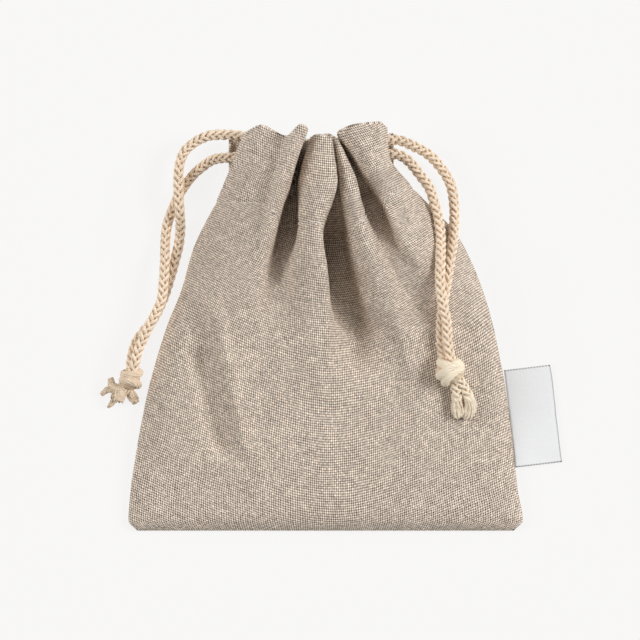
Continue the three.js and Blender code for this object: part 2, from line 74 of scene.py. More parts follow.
# Lines that run down the front, from the left seam to the right: place across the flat cloth, (x, y, z) at
# the mouth, (x, z) in the channel, (x, y, z) at the stitches, (x, z) at the shoulder, and what is left of the
# fold at the belly. A valley also has the width of its floor. Where half is given, it is (x, z) between
# shoulder and belly, and across moves the line at the belly.
FRONT_COLUMNS = "name cloth mouth channel stitch shoulder belly floor across half".split()
FRONT_LINES = [
    ("left seam", 0, (-25, 120.6, 14), (-28.5, 14), (-33.5, 99.5, 9), (-40, 6), 0),
    ("left hump", 9, (-19.5, 122.8, 18.5), (-21, 19), (-25, 99.5, 17), (-29.5, 14), 0),
    ("left panel", 17, (-12.4, 119.6, 19.5), (-14.5, 21.5), (-18, 99, 20.5), (-22, 18), 0.2),
    ("first crest", 25, (-7.8, 122.9, 25), (-11.6, 25), (-16.8, 97.5, 23), (-19.6, 19.5), 0.4),
    ("first edge", 28.5, (-5.4, 121.8, 22.5), (-9.9, 22.5), (-14.6, 96, 21), (-17.8, 18.8), 0),
    ("first valley", 39, (-6.2, 118.6, 9), (-9.4, 8.5), (-11.4, 92.5, 7.5), (-14.2, 12.8), -0.8, 4),
    ("middle rise", 48.5, (-4.6, 119.5, 17.5), (-7.2, 18), (-8.2, 93.5, 18.5), (-8.4, 19.2), 0.2),
    ("middle panel", 54, (-2.2, 120, 20.5), (-3, 22.5), (-5.4, 94, 22.5), (-4.8, 22), 1),
    ("middle crest", 59.5, (0.6, 119.5, 21.5), (1.6, 24), (-2.2, 93.5, 24), (-1.9, 22.8), 0.6, 0, 0,
     (-0.6, 19.4)),
    ("middle edge", 62, (2, 119, 20), (3.2, 22), (-0.7, 92, 21.5), (0, 20.8), -2.4, 0, 0, (0.9, 17)),
    ("middle valley", 72.5, (2.2, 117.5, 17.5), (3.2, 16.5), (2.2, 87, 3.4), (4, 3), -7, 6, -1.4, (5.6, 4.6)),
    ("slim rise", 81.5, (2.6, 118.3, 19.4), (4.6, 19.5), (6.9, 89.5, 17), (9, 14.2), -3.8, 0, -1.4,
     (12.8, 12)),
    ("slim crest", 86.5, (3.2, 119, 20.2), (6.8, 21.8), (10.2, 93.5, 22), (14, 20), -0.8, 0, -1.4,
     (17.4, 16.6)),
    ("slim edge", 89, (3.8, 118.5, 18), (8.6, 19.8), (12, 94.5, 20.3), (16.4, 19.3), 0.4, 0, -2),
    ("right valley", 98, (3, 118.8, 13), (8.8, 12.3), (15, 96.5, 9), (20.2, 14.6), -0.4, 4.2),
    ("right rise", 106, (3.4, 120.2, 18.5), (10.4, 18.5), (17.4, 99.5, 17.8), (25, 17.2), 0),
    ("right panel", 111, (9, 122.9, 22), (13, 21.5), (20.2, 102, 18.5), (29, 15), 0),
    ("right hump", 115.5, (16.3, 123.6, 20.5), (16.9, 18.5), (23.6, 103.5, 15), (33.3, 11), 0),
    ("right seam", 120, (18.7, 122.5, 14), (19.3, 14), (26.8, 104, 9), (40.2, 6), 0),
]

# Side seams below the shoulder: height, left x, right x.
SEAMS = [
    (0, -57.4, 57.2), (3, -60, 60), (12, -59.4, 58.6), (24, -57.6, 57.2), (40, -54.6, 55.2),
    (52, -51.8, 53), (61, -48.6, 50.9), (73, -43.8, 46.9), (80, -41.8, 43.8),
]

# The back: its small folds, and where it ends at the mouth. Its edge is soft over a width that grows upwards.
BACK = {
    "folds": 5, "fold_height": 4.6, "edge_height": 5.0, "reach_below": 2.6, "reach_above": 13.0,
    "mouth_left": -29.6, "mouth_right": 20.8, "mouth_y": 119.5, "mouth_wave": 1.0,
}

# Cords from inside the pouch to the knot: x, y and height of the middle, at each bend.
CORDS = {
    "left_cord_upper": [
        (-17.5, 117.6, 9.8), (-25.1, 119.9, 9.9), (-32.1, 120.4, 9.2), (-35.7, 120, 8.2), (-39.4, 118.3, 7),
        (-42.9, 115.2, 6.4), (-44.4, 111.2, 6.2), (-44.8, 106, 6.3), (-44.6, 100.6, 6.3), (-44.3, 96.5, 5.5),
        (-44.2, 92, 2.8), (-44.6, 87.5, 2), (-45.9, 82.1, 2), (-47.5, 76.3, 2), (-49.6, 70.2, 2),
        (-52.6, 64.1, 2), (-55.5, 60.4, 2), (-57.6, 57.4, 2), (-58.7, 54.2, 2), (-59.2, 51.2, 2.2),
        (-59.4, 48.4, 3.2),
    ],
    "left_cord_lower": [
        (-18.5, 113.3, 9), (-28.1, 113.5, 9.2), (-33.9, 112.9, 5.8), (-37.6, 110.6, 4), (-40.6, 107.9, 2.4),
        (-43.7, 103.7, 2), (-46.3, 98.5, 2), (-48.2, 93, 2), (-48.8, 87.5, 2.6), (-48.9, 82, 4.8),
        (-49.2, 76.3, 6), (-49.9, 70.2, 6.2), (-52.5, 64.4, 6.2), (-54.2, 61.1, 6.2), (-55.6, 58, 6.1),
        (-56.9, 55, 6.1), (-57.9, 51.2, 6), (-58.7, 48.4, 5),
    ],
    "right_cord_outer": [
        (12, 117.2, 9.3), (21.4, 118.8, 9), (26.9, 116.8, 7.6), (31.4, 114.3, 6.4), (35.1, 110.3, 5.4),
        (37.7, 106.1, 5), (38.9, 101.5, 5.4), (39.2, 96.9, 7), (39.1, 92.3, 9), (38.6, 87.5, 11.07),
        (37.6, 81.7, 13.91), (36.7, 75.9, 15.06), (35.7, 69.9, 14.98), (35, 64.1, 14.29), (34.9, 58, 13.65),
        (35.5, 53.6, 13.7), (36.3, 50.4, 15),
    ],
    "right_cord_inner": [
        (12, 112.8, 9.4), (21.1, 114.5, 9.2), (25, 112.5, 8.8), (28.7, 108.1, 8.4), (31.4, 104.5, 9),
        (33, 99.9, 10.4), (34.3, 94.4, 11.73), (34.9, 88.3, 13.77), (34.8, 82, 17.3), (34.6, 75.9, 19),
        (35.2, 69.8, 19.01), (36.5, 64.1, 17.85), (36.9, 58, 17.3), (37.6, 53.6, 17.1), (38.2, 50.4, 16.6),
    ],
}

# Soft troughs and ridges in the body: x and y of both ends, half width, and depth, which is negative for a
# ridge.
CREASES = [
    ((-40, 68), (-37, 50), 3.6, 1.8),
    ((-38, 54), (-31, 24), 3, 2.9),
    ((-34, 68), (-29.4, 50), 2.4, -1.6),
    ((-30, 52), (-24, 24), 2.6, -1.9),
    ((7.6, 64), (9.6, 50), 4.6, 3),
    ((-13.5, 88), (-15.5, 76), 3.2, 1.4),
    ((-21, 60), (-18, 28), 3, 0.3),
    ((19, 62), (23, 36), 3.2, 0.3),
]
# Thickness of the cloth, and of the channel where it is turned down.
FABRIC = 0.5
CHANNEL_FABRIC = 1.0
# Share of a fold's height that counts for its width along the weave.
WEAVE_STEEP = 0.8
# The middle line of each panel between the folds, and the floor of each fold, as places across the cloth.
PANEL_MIDDLES = [17.0, 56.0, 85.0, 108.0]
FOLD_FLOORS = [39.0, 72.5, 98.0]
FOLD_REACH = 4.0
# How a yarn swings over and under the others, how deep the holes are, how far it sways sideways, and how the
# height between them turns to painted shade, which darkens the holes and the sides of the yarns.
WEAVE = {"swing": 0.8, "hole": 1.2, "sway": 1.2, "light": 0.345, "contrast": 2.2}
# Slope at which the crosswise yarns fall to the middle: height, from the left, from the right.
WEFT_SLOPES = [(0, 0.44, 0.42), (45, 0.44, 0.46), (80, 0.54, 0.66), (124, 0.54, 0.7)]
GRID = {"rows": 150, "front": 186, "back": 92}
SEWING = {"groove": 0.4, "reach": 0.8, "stitch": 2.2, "pitch": 2.55, "thread": 0.15, "slant": 0.25}
# Height of a stitch over the cloth, from one end to the other.
STITCH_LIFT = [-0.1, 0.28, 0.4, 0.42, 0.4, 0.28, -0.1]
# How far the cords puff up the channel, where, and over how much of its length.
CHANNEL_PUFF = {"height": 0.45, "share": 0.45, "reach": 5.0}
# The cloth puckers unevenly along the stitches.
PUCKER = {"share": 0.35, "stretch": 1.3, "cell": 2.2, "seed": 21}
# The edges are round, and slopes near them rise softly, which fades out up the pouch.
EDGE_ROUND = {"height": 0.55, "reach": 0.5}
SLOPE_ROUND = {"height": 1.5, "reach": 3.0, "fade": (90, 120)}
# Distance from the edge over which each kind of relief sets in.
SET_IN = {"crease": 6, "wrinkle": 5, "puff": 8}
BACK_WRINKLES = {"lift": 0.12, "share": 0.25, "shift": 31}
# Cell, height and seed of each size of wrinkle.
WRINKLES = [(11.0, 0.32, 11), (5.0, 0.14, 12), (2.3, 0.045, 13)]
BRAID = {"lay": 9.0, "radius": 0.92, "sway": 0.27, "strand": 0.56, "core": 0.9, "sides": 6, "step": 0.32}
# The smooth cord of the knots: its strands, ring and core as shares of its radius.
ROPE = {"strands": 9, "lay": 16.0, "ring": 0.68, "strand": 0.34, "core": 0.7}
# Undone yarns: step along the bundle; its taper, core, spread and waves as shares of its half width; radius of
# a yarn at its root and tip; ranges of length, as a share, and of tone.
BUNDLE = {
    "step": 0.4, "taper": 0.45, "core": 0.76, "spread": 0.9, "wave": 0.3,
    "root": 0.38, "tip": 0.26, "lengths": (0.8, 1), "tones": (0.8, 1.05),
}
# The knots and their ends stay at least this far over the surface.
LOWEST_COTTON = 0.05
WISP_SEED = 60
TASSEL_SEED = 80
# How much further along its pattern each braided end starts.
TAIL_SHIFT = 3.0
# The channel's cloth thickens over this distance above the stitches.
THICKENS_OVER = 3
# The ribbon: its sizes when folded, how it lies, where it meets the seam, and the points of its mesh.
LABEL = {
    "width": 14.25, "length": 29.8, "layer": 0.45, "gap": 0.5, "tilt": 6.8, "droop": 5.6,
    "at": (54.27, 48.8, 1.35), "rows": 61, "columns": 27, "bend": 13,
}
CAMERA_AT = (-0.0017, 0.0021)
SENSOR = 36.0
LIGHT_ANGLE = 28
FLOOR = {"half": 2.0, "z": -2e-5}

# Soft lights low at the sides: name, the way that the light goes, and its share.
LIGHTS = [
    ("right", (-1.0, -0.2, -0.75), 0.56),
    ("left", (1.0, -0.15, -0.75), 0.36),
    ("top", (0.1, -1.0, -0.9), 0.08),
]

# Knots: the middle of each, the half sizes of its core, the thickness of the smooth cord that wraps it, and
# its turns as radius, lean, turn and middle. Then the braided ends that leave it, as route and the length
# that has come undone, and the wisps of undone end, as route and half widths at the root and at the tip.
KNOTS = {
    "left_knot": {
        "middle": (-59.3, 46.2, 4.1),
        "core": (2.9, 3.3, 3),
        "thick": 2.6,
        "wraps": [(2.3, 10, 6, (0.3, 1.6, 0)), (2.4, -10, -16, (-0.1, -1.1, 0))],
        "tails": [],
        "wisps": [
            ([(-1, -1.4, -0.8), (-2.6, -3.8, -0.9), (-4, -7.2, -1.6)], 1.7, 2.9),
            ([(-3.4, -3.6, -1), (-5.4, -2.2, -1), (-6.3, 0.2, -1.5)], 1.4, 1.1),
            ([(-4.2, -3.6, -1.6), (-6.9, -3.2, -2), (-9, -4.8, -2.8)], 1.1, 0.6),
            ([(-4.4, -5.6, -2), (-5.8, -7.3, -2.5), (-7, -8.7, -3)], 0.9, 0.5),
            ([(-0.6, -2.4, -1.2), (0.2, -5, -1.7), (1.6, -7.4, -2.2)], 1.2, 1.6),
        ],
    },
    "right_knot": {
        "middle": (37.5, 48.5, 16),
        "core": (4.2, 3.7, 3),
        "thick": 2.7,
        "wraps": [
            (3, 14, -10, (0.3, 2.4, -0.2)),
            (3.3, 0, 36, (-0.3, 0.7, 0)),
            (3.1, -12, 42, (1, -1.2, -0.3)),
        ],
        "tails": [
            ([(1.6, -1, -1.2), (3.9, -4, -1.9), (6, -8.2, -2.8), (6.4, -11, -3.5), (4.9, -15, -4.6)], 7.5),
            ([(0.8, -1.4, -1.2), (2.1, -5.8, -2.3), (2.4, -10.2, -3.4), (3.2, -14.4, -4.3)], 7),
        ],
        "wisps": [],
    },
}
# Half widths of a braided end that has come undone, and how thick it is for its width.
TASSEL = {"root": 1.4, "tip": 2.0, "flat": 0.9}


def smooth(xs, ys, x):
    """Smooth curve through the points that never swings past them; ys may hold arrays."""
    xs, ys, x = (np.asarray(v, float) for v in (xs, ys, x))
    spread = (slice(None),) + (None,) * (ys.ndim - 1)
    h = np.diff(xs)
    slope = np.diff(ys, axis=0) / h[spread]
    a, b = slope[:-1], slope[1:]
    same = a * b > 0
    w0 = (2 * h[1:] + h[:-1])[spread]
    w1 = (h[1:] + 2 * h[:-1])[spread]
    mean = (w0 + w1) / (w0 / np.where(same, a, 1) + w1 / np.where(same, b, 1))
    tangent = np.concatenate([slope[:1], np.where(same, mean, 0), slope[-1:]])
    k = np.clip(np.searchsorted(xs, x, side="right") - 1, 0, len(xs) - 2)
    t = np.clip((x - xs[k]) / h[k], 0, 1)[spread]
    hk = h[k][spread]
    return (
        (2 * t**3 - 3 * t**2 + 1) * ys[k]
        + (t**3 - 2 * t**2 + t) * hk * tangent[k]
        + (3 * t**2 - 2 * t**3) * ys[k + 1]
        + (t**3 - t**2) * hk * tangent[k + 1]
    )


def ramp(x, low, high):
    """Smooth step from 0 at low to 1 at high."""
    t = np.clip((np.asarray(x, float) - low) / (high - low), 0, 1)
    return t * t * (3 - 2 * t)


def run_along(points):
    """Distance from the first point to each point, along the row of them."""
    return np.concatenate([[0], np.cumsum(np.linalg.norm(np.diff(points, axis=0), axis=1))])


def both_sides(table, y):
    """Left and right value of a table at these heights, read smoothly."""
    heights, left, right = zip(*table)
    return smooth(heights, left, y), smooth(heights, right, y)


def belly_point(cloth, y, left=0.0):
    """Place of the front's cloth below the folds, spread evenly between the seams and over the crown."""
    share = cloth / FLAT_WIDTH
    (x0,), (x1,) = both_sides(SEAMS, [y])
    seam = EDGE_HEIGHT + (SEAM_HEIGHT - EDGE_HEIGHT) * min(1, y / BELLY["length"])
    crown = EDGE_HEIGHT + (BELLY["height"] - EDGE_HEIGHT) * (y / BELLY["length"]) ** CROWN_POWER["along"]
    rise = max(0, math.sin(math.pi * share)) ** CROWN_POWER["across"]
    edge = EDGE_RISE["height"] * min(1, min(y, cloth, FLAT_WIDTH - cloth) / EDGE_RISE["reach"])
    return [x0 + share * (x1 - x0), y, seam + (crown - seam) * rise + edge + left]


def front_rows():
    """The front's lines as their places across the cloth and their stations along it."""
    cloths, stations = [], []
    for line in FRONT_LINES:
        row = dict(zip(FRONT_COLUMNS, line))
        sides = (-1, 1) if row["name"].endswith("valley") else (0,)
        mouth, channel, stitch, shoulder = (row[k] for k in ("mouth", "channel", "stitch", "shoulder"))
        across = row.get("across", 0)
        for side in sides:
            shift = side * VALLEY_FLOOR["width"] / 2
            wide = side * row.get("floor", 0) / 2
            cloth = row["cloth"] + side * VALLEY_FLOOR["cloth"] / 2
            drop = STITCH - stitch[1]
            rows = []
            for at in BODY_HEIGHTS:
                left = (at / BELLY["length"]) ** 3
                x, y, z = belly_point(cloth, at, row["belly"] * left)
                rows.append([at, x + across * left, y, z])
            belly = belly_point(cloth, BELLY["length"], row["belly"])
            belly[0] += across
            near_seam = (2 * cloth / FLAT_WIDTH - 1) ** 4
            half_x = (belly[0] + shoulder[0] + wide) / 2
            half_x += near_seam * (belly_point(cloth, HALF_AT)[0] - half_x)
            half_z = (belly[2] + shoulder[1]) / 2
            if row.get("half"):
                half_x, half_z = row["half"][0] + wide, row["half"][1]
            channel_y = stitch[1] + (CHANNEL_AT - STITCH) / CHANNEL_DEPTH * (mouth[1] - stitch[1])
            rows += [
                [BELLY["length"], belly[0], BELLY["length"] - BELLY_DROP * drop, belly[2]],
                [HALF_AT, half_x, HALF_AT - HALF_DROP * drop, half_z],
                [SHOULDER_AT, shoulder[0] + wide, SHOULDER_AT - SHOULDER_DROP * drop, shoulder[1]],
                [STITCH, stitch[0] + wide, stitch[1], stitch[2]],
                [CHANNEL_AT, channel[0] + shift, channel_y, channel[1]],
                [FLAT_LENGTH, mouth[0] + shift, mouth[1], mouth[2]],
            ]
            cloths.append(cloth)
            stations.append(rows)
    return np.array(cloths), np.array(stations, float)


LINE_CLOTHS, LINE_STATIONS = front_rows()


def front(cloth, length):
    """Points of the front for rows of lengths and columns of places across the cloth."""
    lengths = LINE_STATIONS[0, :, 0]
    along = smooth(lengths, LINE_STATIONS[:, :, 1:].transpose(1, 0, 2), length)
    return smooth(LINE_CLOTHS, along.transpose(1, 0, 2), cloth).transpose(1, 0, 2)


def back(cloth, length):
    """Points of the back, which shares the front's seams up to the stitches."""
    share = cloth[None, :] / FLAT_WIDTH
    ends = front([0.0, FLAT_WIDTH], length)
    tops = front([0.0, FLAT_WIDTH], [FLAT_LENGTH])[0]
    open_ = np.clip((length - STITCH) / CHANNEL_DEPTH, 0, None)[:, None]
    opened = np.minimum(1, open_ * 2)
    fold = 2 * math.pi * BACK["folds"] * share
    x0 = ends[:, :1, 0] + (BACK["mouth_left"] - ends[:, :1, 0]) * opened
    x1 = ends[:, 1:, 0] + (BACK["mouth_right"] - ends[:, 1:, 0]) * opened
    mouth_y = BACK["mouth_y"] + BACK["mouth_wave"] * np.cos(fold)
    y = ends[:, :1, 1] + share * (ends[:, 1:, 1] - ends[:, :1, 1])
    y = y + (mouth_y - (tops[0, 1] + share * (tops[1, 1] - tops[0, 1]))) * open_**2
    gathered = ramp(length, BELLY["length"], STITCH)[:, None]
    upper = ramp(length, BELLY["length"] / 2, STITCH)[:, None]
    reach = BACK["reach_below"] + (BACK["reach_above"] - BACK["reach_below"]) * upper
    edge = np.clip(1 - np.minimum(cloth, FLAT_WIDTH - cloth) / reach, 0, 1) ** 1.5
    seam_z = ends[:, :1, 2] + share * (ends[:, 1:, 2] - ends[:, :1, 2])
    wave = (1 - np.cos(fold)) / 2 * BACK["fold_height"] * gathered
    z = (seam_z + (BACK["edge_height"] - seam_z) * opened) * edge + wave * (1 - edge)
    return np.stack([x0 + share * (x1 - x0), y, z], axis=-1)


def normals_of(grid):
    """Unit normals of a grid of points, out of the side from which rows go up and columns go right."""
    du = np.gradient(grid, axis=1)
    dv = np.gradient(grid, axis=0)
    n = np.cross(du, dv)
    return n / np.maximum(np.linalg.norm(n, axis=-1, keepdims=True), 1e-9)


def value_noise(x, y, cell, seed):
    """Smooth random heights from -1 to 1, one for each cell, from a fixed seed."""
    table = np.random.default_rng(seed).uniform(-1, 1, (64, 64))
    gx, gy = np.asarray(x) / cell, np.asarray(y) / cell
    ix, iy = np.floor(gx).astype(int), np.floor(gy).astype(int)
    fx, fy = gx - ix, gy - iy
    fx, fy = fx * fx * (3 - 2 * fx), fy * fy * (3 - 2 * fy)
    rows, columns = (ix % 64, (ix + 1) % 64), (iy % 64, (iy + 1) % 64)
    low, high = (table[rows[0], column] * (1 - fx) + table[rows[1], column] * fx for column in columns)
    return low * (1 - fy) + high * fy


def cloth_surface(settings):
    """Front and back as one open sheet: points, faces, and each face corner's place on the flat cloth."""
    lengths = np.linspace(0, FLAT_LENGTH, GRID["rows"])
    lengths[np.argmin(np.abs(lengths - STITCH))] = STITCH
    seam_rows = int(np.searchsorted(lengths, STITCH + 1e-6))
    cloth = np.linspace(0, FLAT_WIDTH, GRID["front"])
    f = dressed_front(cloth, lengths)
    b, _ = dressed_back(np.linspace(0, 1, GRID["back"]) * FLAT_WIDTH, lengths)
    b[:seam_rows, 0], b[:seam_rows, -1] = f[:seam_rows, 0], f[:seam_rows, -1]
    u, v = cloth_places(f, cloth, lengths, settings)
    ub, vb = back_places(b, settings)
    ids, back_ids = (np.arange(side.size // 3).reshape(side.shape[:2]) for side in (f, b))
    back_ids += ids.size
    back_ids[:seam_rows, 0], back_ids[:seam_rows, -1] = ids[:seam_rows, 0], ids[:seam_rows, -1]
    points = np.concatenate([f.reshape(-1, 3), b.reshape(-1, 3)])
    faces, places = grid_faces(ids, u, v, False)
    more, more_places = grid_faces(back_ids, ub, vb, True)
    faces += more
    places += more_places
    rim = bridge(points, ids[0].tolist(), back_ids[0].tolist())
    flat = {}
    for side_ids, side_u, side_v in ((back_ids, ub, vb), (ids, u, v)):
        flat.update(zip(side_ids[0].tolist(), zip(side_u[0].tolist(), side_v[0].tolist())))
    faces += rim
    places += [[flat[i] for i in face] for face in rim]
    return points, faces, places


def cloth_places(grid, cloth, lengths, settings):
    """Where each point lies along the weft and the warp of the woven cloth.

    Each panel between two folds keeps its true width from its middle line. What is left of the flat cloth's
    width goes into the floors of the folds. The crosswise yarns sag to the middle.
    """
    start = np.zeros((len(grid), 1))
    step = np.linalg.norm(np.diff(grid * (1, 1, WEAVE_STEEP), axis=1), axis=2)
    run = np.concatenate([start, np.cumsum(step, axis=1)], axis=1)
    at = [int(np.argmin(np.abs(cloth - middle))) for middle in PANEL_MIDDLES]
    below = lengths <= BELLY["length"]
    widths = np.diff(run[below][:, at], axis=1)[-1]
    scale = widths.sum() / (run[:, at[-1]] - run[:, at[0]])
    share = ramp(lengths, BELLY["length"], SHOULDER_AT)[:, None]
    stretched = step * (scale[:, None] + (1 - scale[:, None]) * share)
    half = (cloth[1:] + cloth[:-1]) / 2
    for k, fold in enumerate(FOLD_FLOORS):
        part = slice(at[k], at[k + 1])
        near = np.exp(-(((half[part] - fold) / FOLD_REACH) ** 2))
        spare = np.maximum(widths[k] - stretched[:, part].sum(axis=1), 0)
        weight = (share * near + (1 - share)) * step[:, part]
        stretched[:, part] += (spare / weight.sum(axis=1))[:, None] * weight
    u = np.concatenate([start, np.cumsum(stretched, axis=1)], axis=1)
    u -= u[:, at[1:2]]
    return u, upright_places(grid, settings)


def back_places(grid, settings):
    """The same for the back, which has no deep folds."""
    u = np.cumsum(np.linalg.norm(np.diff(grid, axis=1, prepend=grid[:, :1]), axis=2), axis=1)
    return u - u.mean(axis=1, keepdims=True), upright_places(grid, settings)


def upright_places(grid, settings):
    """How far each point lies up the warp: the crosswise yarns sag to the middle, whatever the folds do."""
    step = np.diff(grid, axis=0)
    spare = (np.linalg.norm(step, axis=2) - np.abs(step[..., 1])).mean(axis=1)
    off = grid[..., 0] - settings.bow_middle / MM
    reach = settings.bow_reach / MM
    slope = np.where(off < 0, *both_sides(WEFT_SLOPES, grid[..., 1]))
    bow = settings.weft_bow * slope * (np.sqrt(off**2 + reach**2) - reach)
    return grid[..., 1] + np.concatenate([[0], np.cumsum(spare)])[:, None] - bow


def grid_faces(ids, u, v, flip):
    """Quads of a grid, with each corner's place on the cloth."""
    low, high = slice(0, -1), slice(1, None)
    corners = [(low, low), (low, high), (high, high), (high, low)]
    if flip:
        corners = corners[::-1]
    faces = np.stack([ids[c].ravel() for c in corners], axis=1)
    places = np.stack([np.stack([u[c].ravel(), v[c].ravel()], axis=1) for c in corners], axis=1)
    return faces.tolist(), places.tolist()


def bridge(points, above, below):
    """Triangles between two rows of points that share both ends, as front and back do at the bottom."""
    i = j = 0
    faces = []
    while i < len(above) - 1 or j < len(below) - 1:
        left_above = i < len(above) - 1 and points[above[i + 1]][0]
        left_below = j < len(below) - 1 and points[below[j + 1]][0]
        step_above = j == len(below) - 1 or (i < len(above) - 1 and left_above <= left_below)
        face = [above[i], below[j], above[i + 1] if step_above else below[j + 1]]
        if len(set(face)) == 3:
            faces.append(face)
        if step_above:
            i += 1
        else:
            j += 1
    return faces


def wrinkles(u, v):
    """Soft uneven waves of several sizes."""
    x, y = u + 0.35 * v, v * 0.7 + 40
    return sum(height * value_noise(x, y, cell, seed) for cell, height, seed in WRINKLES)


def dressed_front(cloth, lengths):
    """The front with its creases, wrinkles, stitch line and rounded edge."""
    points = front(cloth, lengths)
    x, y = points[..., 0], points[..., 1]
    u, v = np.meshgrid(cloth, lengths)
    edge = np.minimum(np.minimum(u, FLAT_WIDTH - u), v)
    for (x0, y0), (x1, y1), width, depth in CREASES:
        dx, dy = x1 - x0, y1 - y0
        reach = math.hypot(dx, dy)
        along = ((x - x0) * dx + (y - y0) * dy) / reach
        across = ((x - x0) * dy - (y - y0) * dx) / reach
        ends = ramp(along, -width, width) * ramp(reach - along, -width, width)
        points[..., 2] -= depth * ends * np.exp(-((across / width) ** 2)) * ramp(edge, 0, SET_IN["crease"])
    uneven = value_noise(u * PUCKER["stretch"], 0 * v, PUCKER["cell"], PUCKER["seed"])
    pucker = 1 + PUCKER["share"] * uneven
    relief = wrinkles(u, v) * ramp(edge, 0, SET_IN["wrinkle"])
    relief -= SEWING["groove"] * pucker * np.exp(-(((v - STITCH) / SEWING["reach"]) ** 2))
    over_cord = (v - STITCH - CHANNEL_DEPTH * CHANNEL_PUFF["share"]) / CHANNEL_PUFF["reach"]
    relief += CHANNEL_PUFF["height"] * np.exp(-(over_cord**2)) * ramp(edge, 0, SET_IN["puff"])
    lift = EDGE_ROUND["height"] * (1 - np.exp(-edge / EDGE_ROUND["reach"]))
    slope = SLOPE_ROUND["height"] * (1 - np.exp(-edge / SLOPE_ROUND["reach"]))
    lift += slope * (1 - ramp(v, *SLOPE_ROUND["fade"]))
    points = points + normals_of(points) * relief[..., None]
    points[..., 2] += lift
    return points


def dressed_back(cloth, lengths):
    """The back with small wrinkles, upwards only, so that it lies flat, and its normals without them."""
    points = back(cloth, lengths)
    normals = normals_of(points)
    u, v = np.meshgrid(np.linspace(0, FLAT_WIDTH, len(cloth)), lengths)
    relief = BACK_WRINKLES["lift"] + BACK_WRINKLES["share"] * wrinkles(u + BACK_WRINKLES["shift"], v)
    return points + normals * relief[..., None], normals


def vertex_normals(points, faces):
    """Unit normal at each point, from the triangles round it."""
    tris = np.array([(f[0], f[k], f[k + 1]) for f in faces for k in range(1, len(f) - 1)])
    a, b, c = (points[tris[:, k]] for k in range(3))
    n = np.cross(b - a, c - a)
    total = np.zeros_like(points)
    for k in range(3):
        np.add.at(total, tris[:, k], n)
    return total / np.maximum(np.linalg.norm(total, axis=1, keepdims=True), 1e-9)


def thicken(points, faces, places, thickness):
    """Closed shell: the sheet, its inner side, and a rounded rim along each open edge."""
    normals = vertex_normals(points, faces)
    inner = points - normals * thickness[:, None]
    count = len(points)
    edges = {}
    for face, place in zip(faces, places):
        for k, a in enumerate(face):
            b = face[(k + 1) % len(face)]
            edges[(a, b)] = (place[k], place[(k + 1) % len(face)])
    open_edges = {e: p for e, p in edges.items() if (e[1], e[0]) not in edges}
    outward = {}
    for a, b in open_edges:
        side = np.cross(points[b] - points[a], (normals[a] + normals[b]) / 2)
        for k in (a, b):
            outward[k] = outward.get(k, 0) + side
    ring = {k: 2 * count + n for n, k in enumerate(outward)}
    middle = [
        (points[k] + inner[k]) / 2 + side / max(np.linalg.norm(side), 1e-9) * thickness[k] / 2
        for k, side in outward.items()
    ]
    inside = [[k + count for k in reversed(face)] for face in faces]
    inside_places = [list(reversed(place)) for place in places]
    rims, rim_places = [], []
    for (a, b), (pa, pb) in open_edges.items():
        rims += [[b, a, ring[a], ring[b]], [ring[b], ring[a], a + count, b + count]]
        rim_places += [[pb, pa, pa, pb], [pb, pa, pa, pb]]
    verts = np.concatenate([points, inner, np.array(middle)])
    return verts, faces + inside + rims, places + inside_places + rim_places


def to_metres(points):
    """The same points in metres, from the frame's origin."""
    return (points - (0, ORIGIN_Y, 0)) * MM


def make_object(name, verts, faces):
    """Smooth-shaded mesh object from points in millimetres."""
    mesh = bpy.data.meshes.new(name)
    mesh.from_pydata(to_metres(verts).tolist(), [], faces)
    mesh.validate()
    mesh.shade_smooth()
    return link_object(name, mesh)


def link_object(name, data):
    """Puts a mesh, a lamp or a camera into the scene."""
    obj = bpy.data.objects.new(name, data)
    bpy.context.scene.collection.objects.link(obj)
    return obj


def mark(obj, name, values, domain):
    """Stores three numbers for each point or face corner, for the material to read."""
    attribute = obj.data.attributes.new(name, "FLOAT_VECTOR", domain)
    attribute.data.foreach_set("vector", np.asarray(values, np.float32).ravel())


def curve_through(points, step):
    """Evenly spaced points along a smooth curve through the given ones."""
    points = np.asarray(points, float)
    gaps = np.linalg.norm(np.diff(points, axis=0), axis=1)
    knots = np.concatenate([[0], np.cumsum(np.sqrt(gaps))])
    padded = np.concatenate([[2 * points[0] - points[1]], points, [2 * points[-1] - points[-2]]])
    knots = np.concatenate([[knots[0] - np.sqrt(gaps[0])], knots, [knots[-1] + np.sqrt(gaps[-1])]])

    def between(low, high, a, b):
        return (high - t) / (high - low) * a + (t - low) / (high - low) * b

    pieces = []
    for i in range(1, len(padded) - 2):
        t = np.linspace(knots[i], knots[i + 1], 60, endpoint=False)[:, None]
        p0, p1, p2, p3 = padded[i - 1 : i + 3]
        t0, t1, t2, t3 = knots[i - 1 : i + 3]
        a1, a2, a3 = between(t0, t1, p0, p1), between(t1, t2, p1, p2), between(t2, t3, p2, p3)
        pieces.append(between(t1, t2, between(t0, t2, a1, a2), between(t1, t3, a2, a3)))
    return respace(np.concatenate(pieces + [points[-1:]]), step)


def turned(x, y, degrees):
    """Both coordinates after a turn about the origin."""
    c, s = math.cos(math.radians(degrees)), math.sin(math.radians(degrees))
    return x * c - y * s, x * s + y * c


def read_along(table, run, at):
    """Rows of a table of three columns, read at these distances along its run."""
    return np.stack([np.interp(at, run, table[:, k]) for k in range(3)], axis=1)


def respace(points, step):
    """The same curve with its points about one step apart."""
    run = run_along(points)
    return read_along(points, run, np.linspace(0, run[-1], int(round(run[-1] / step)) + 1))


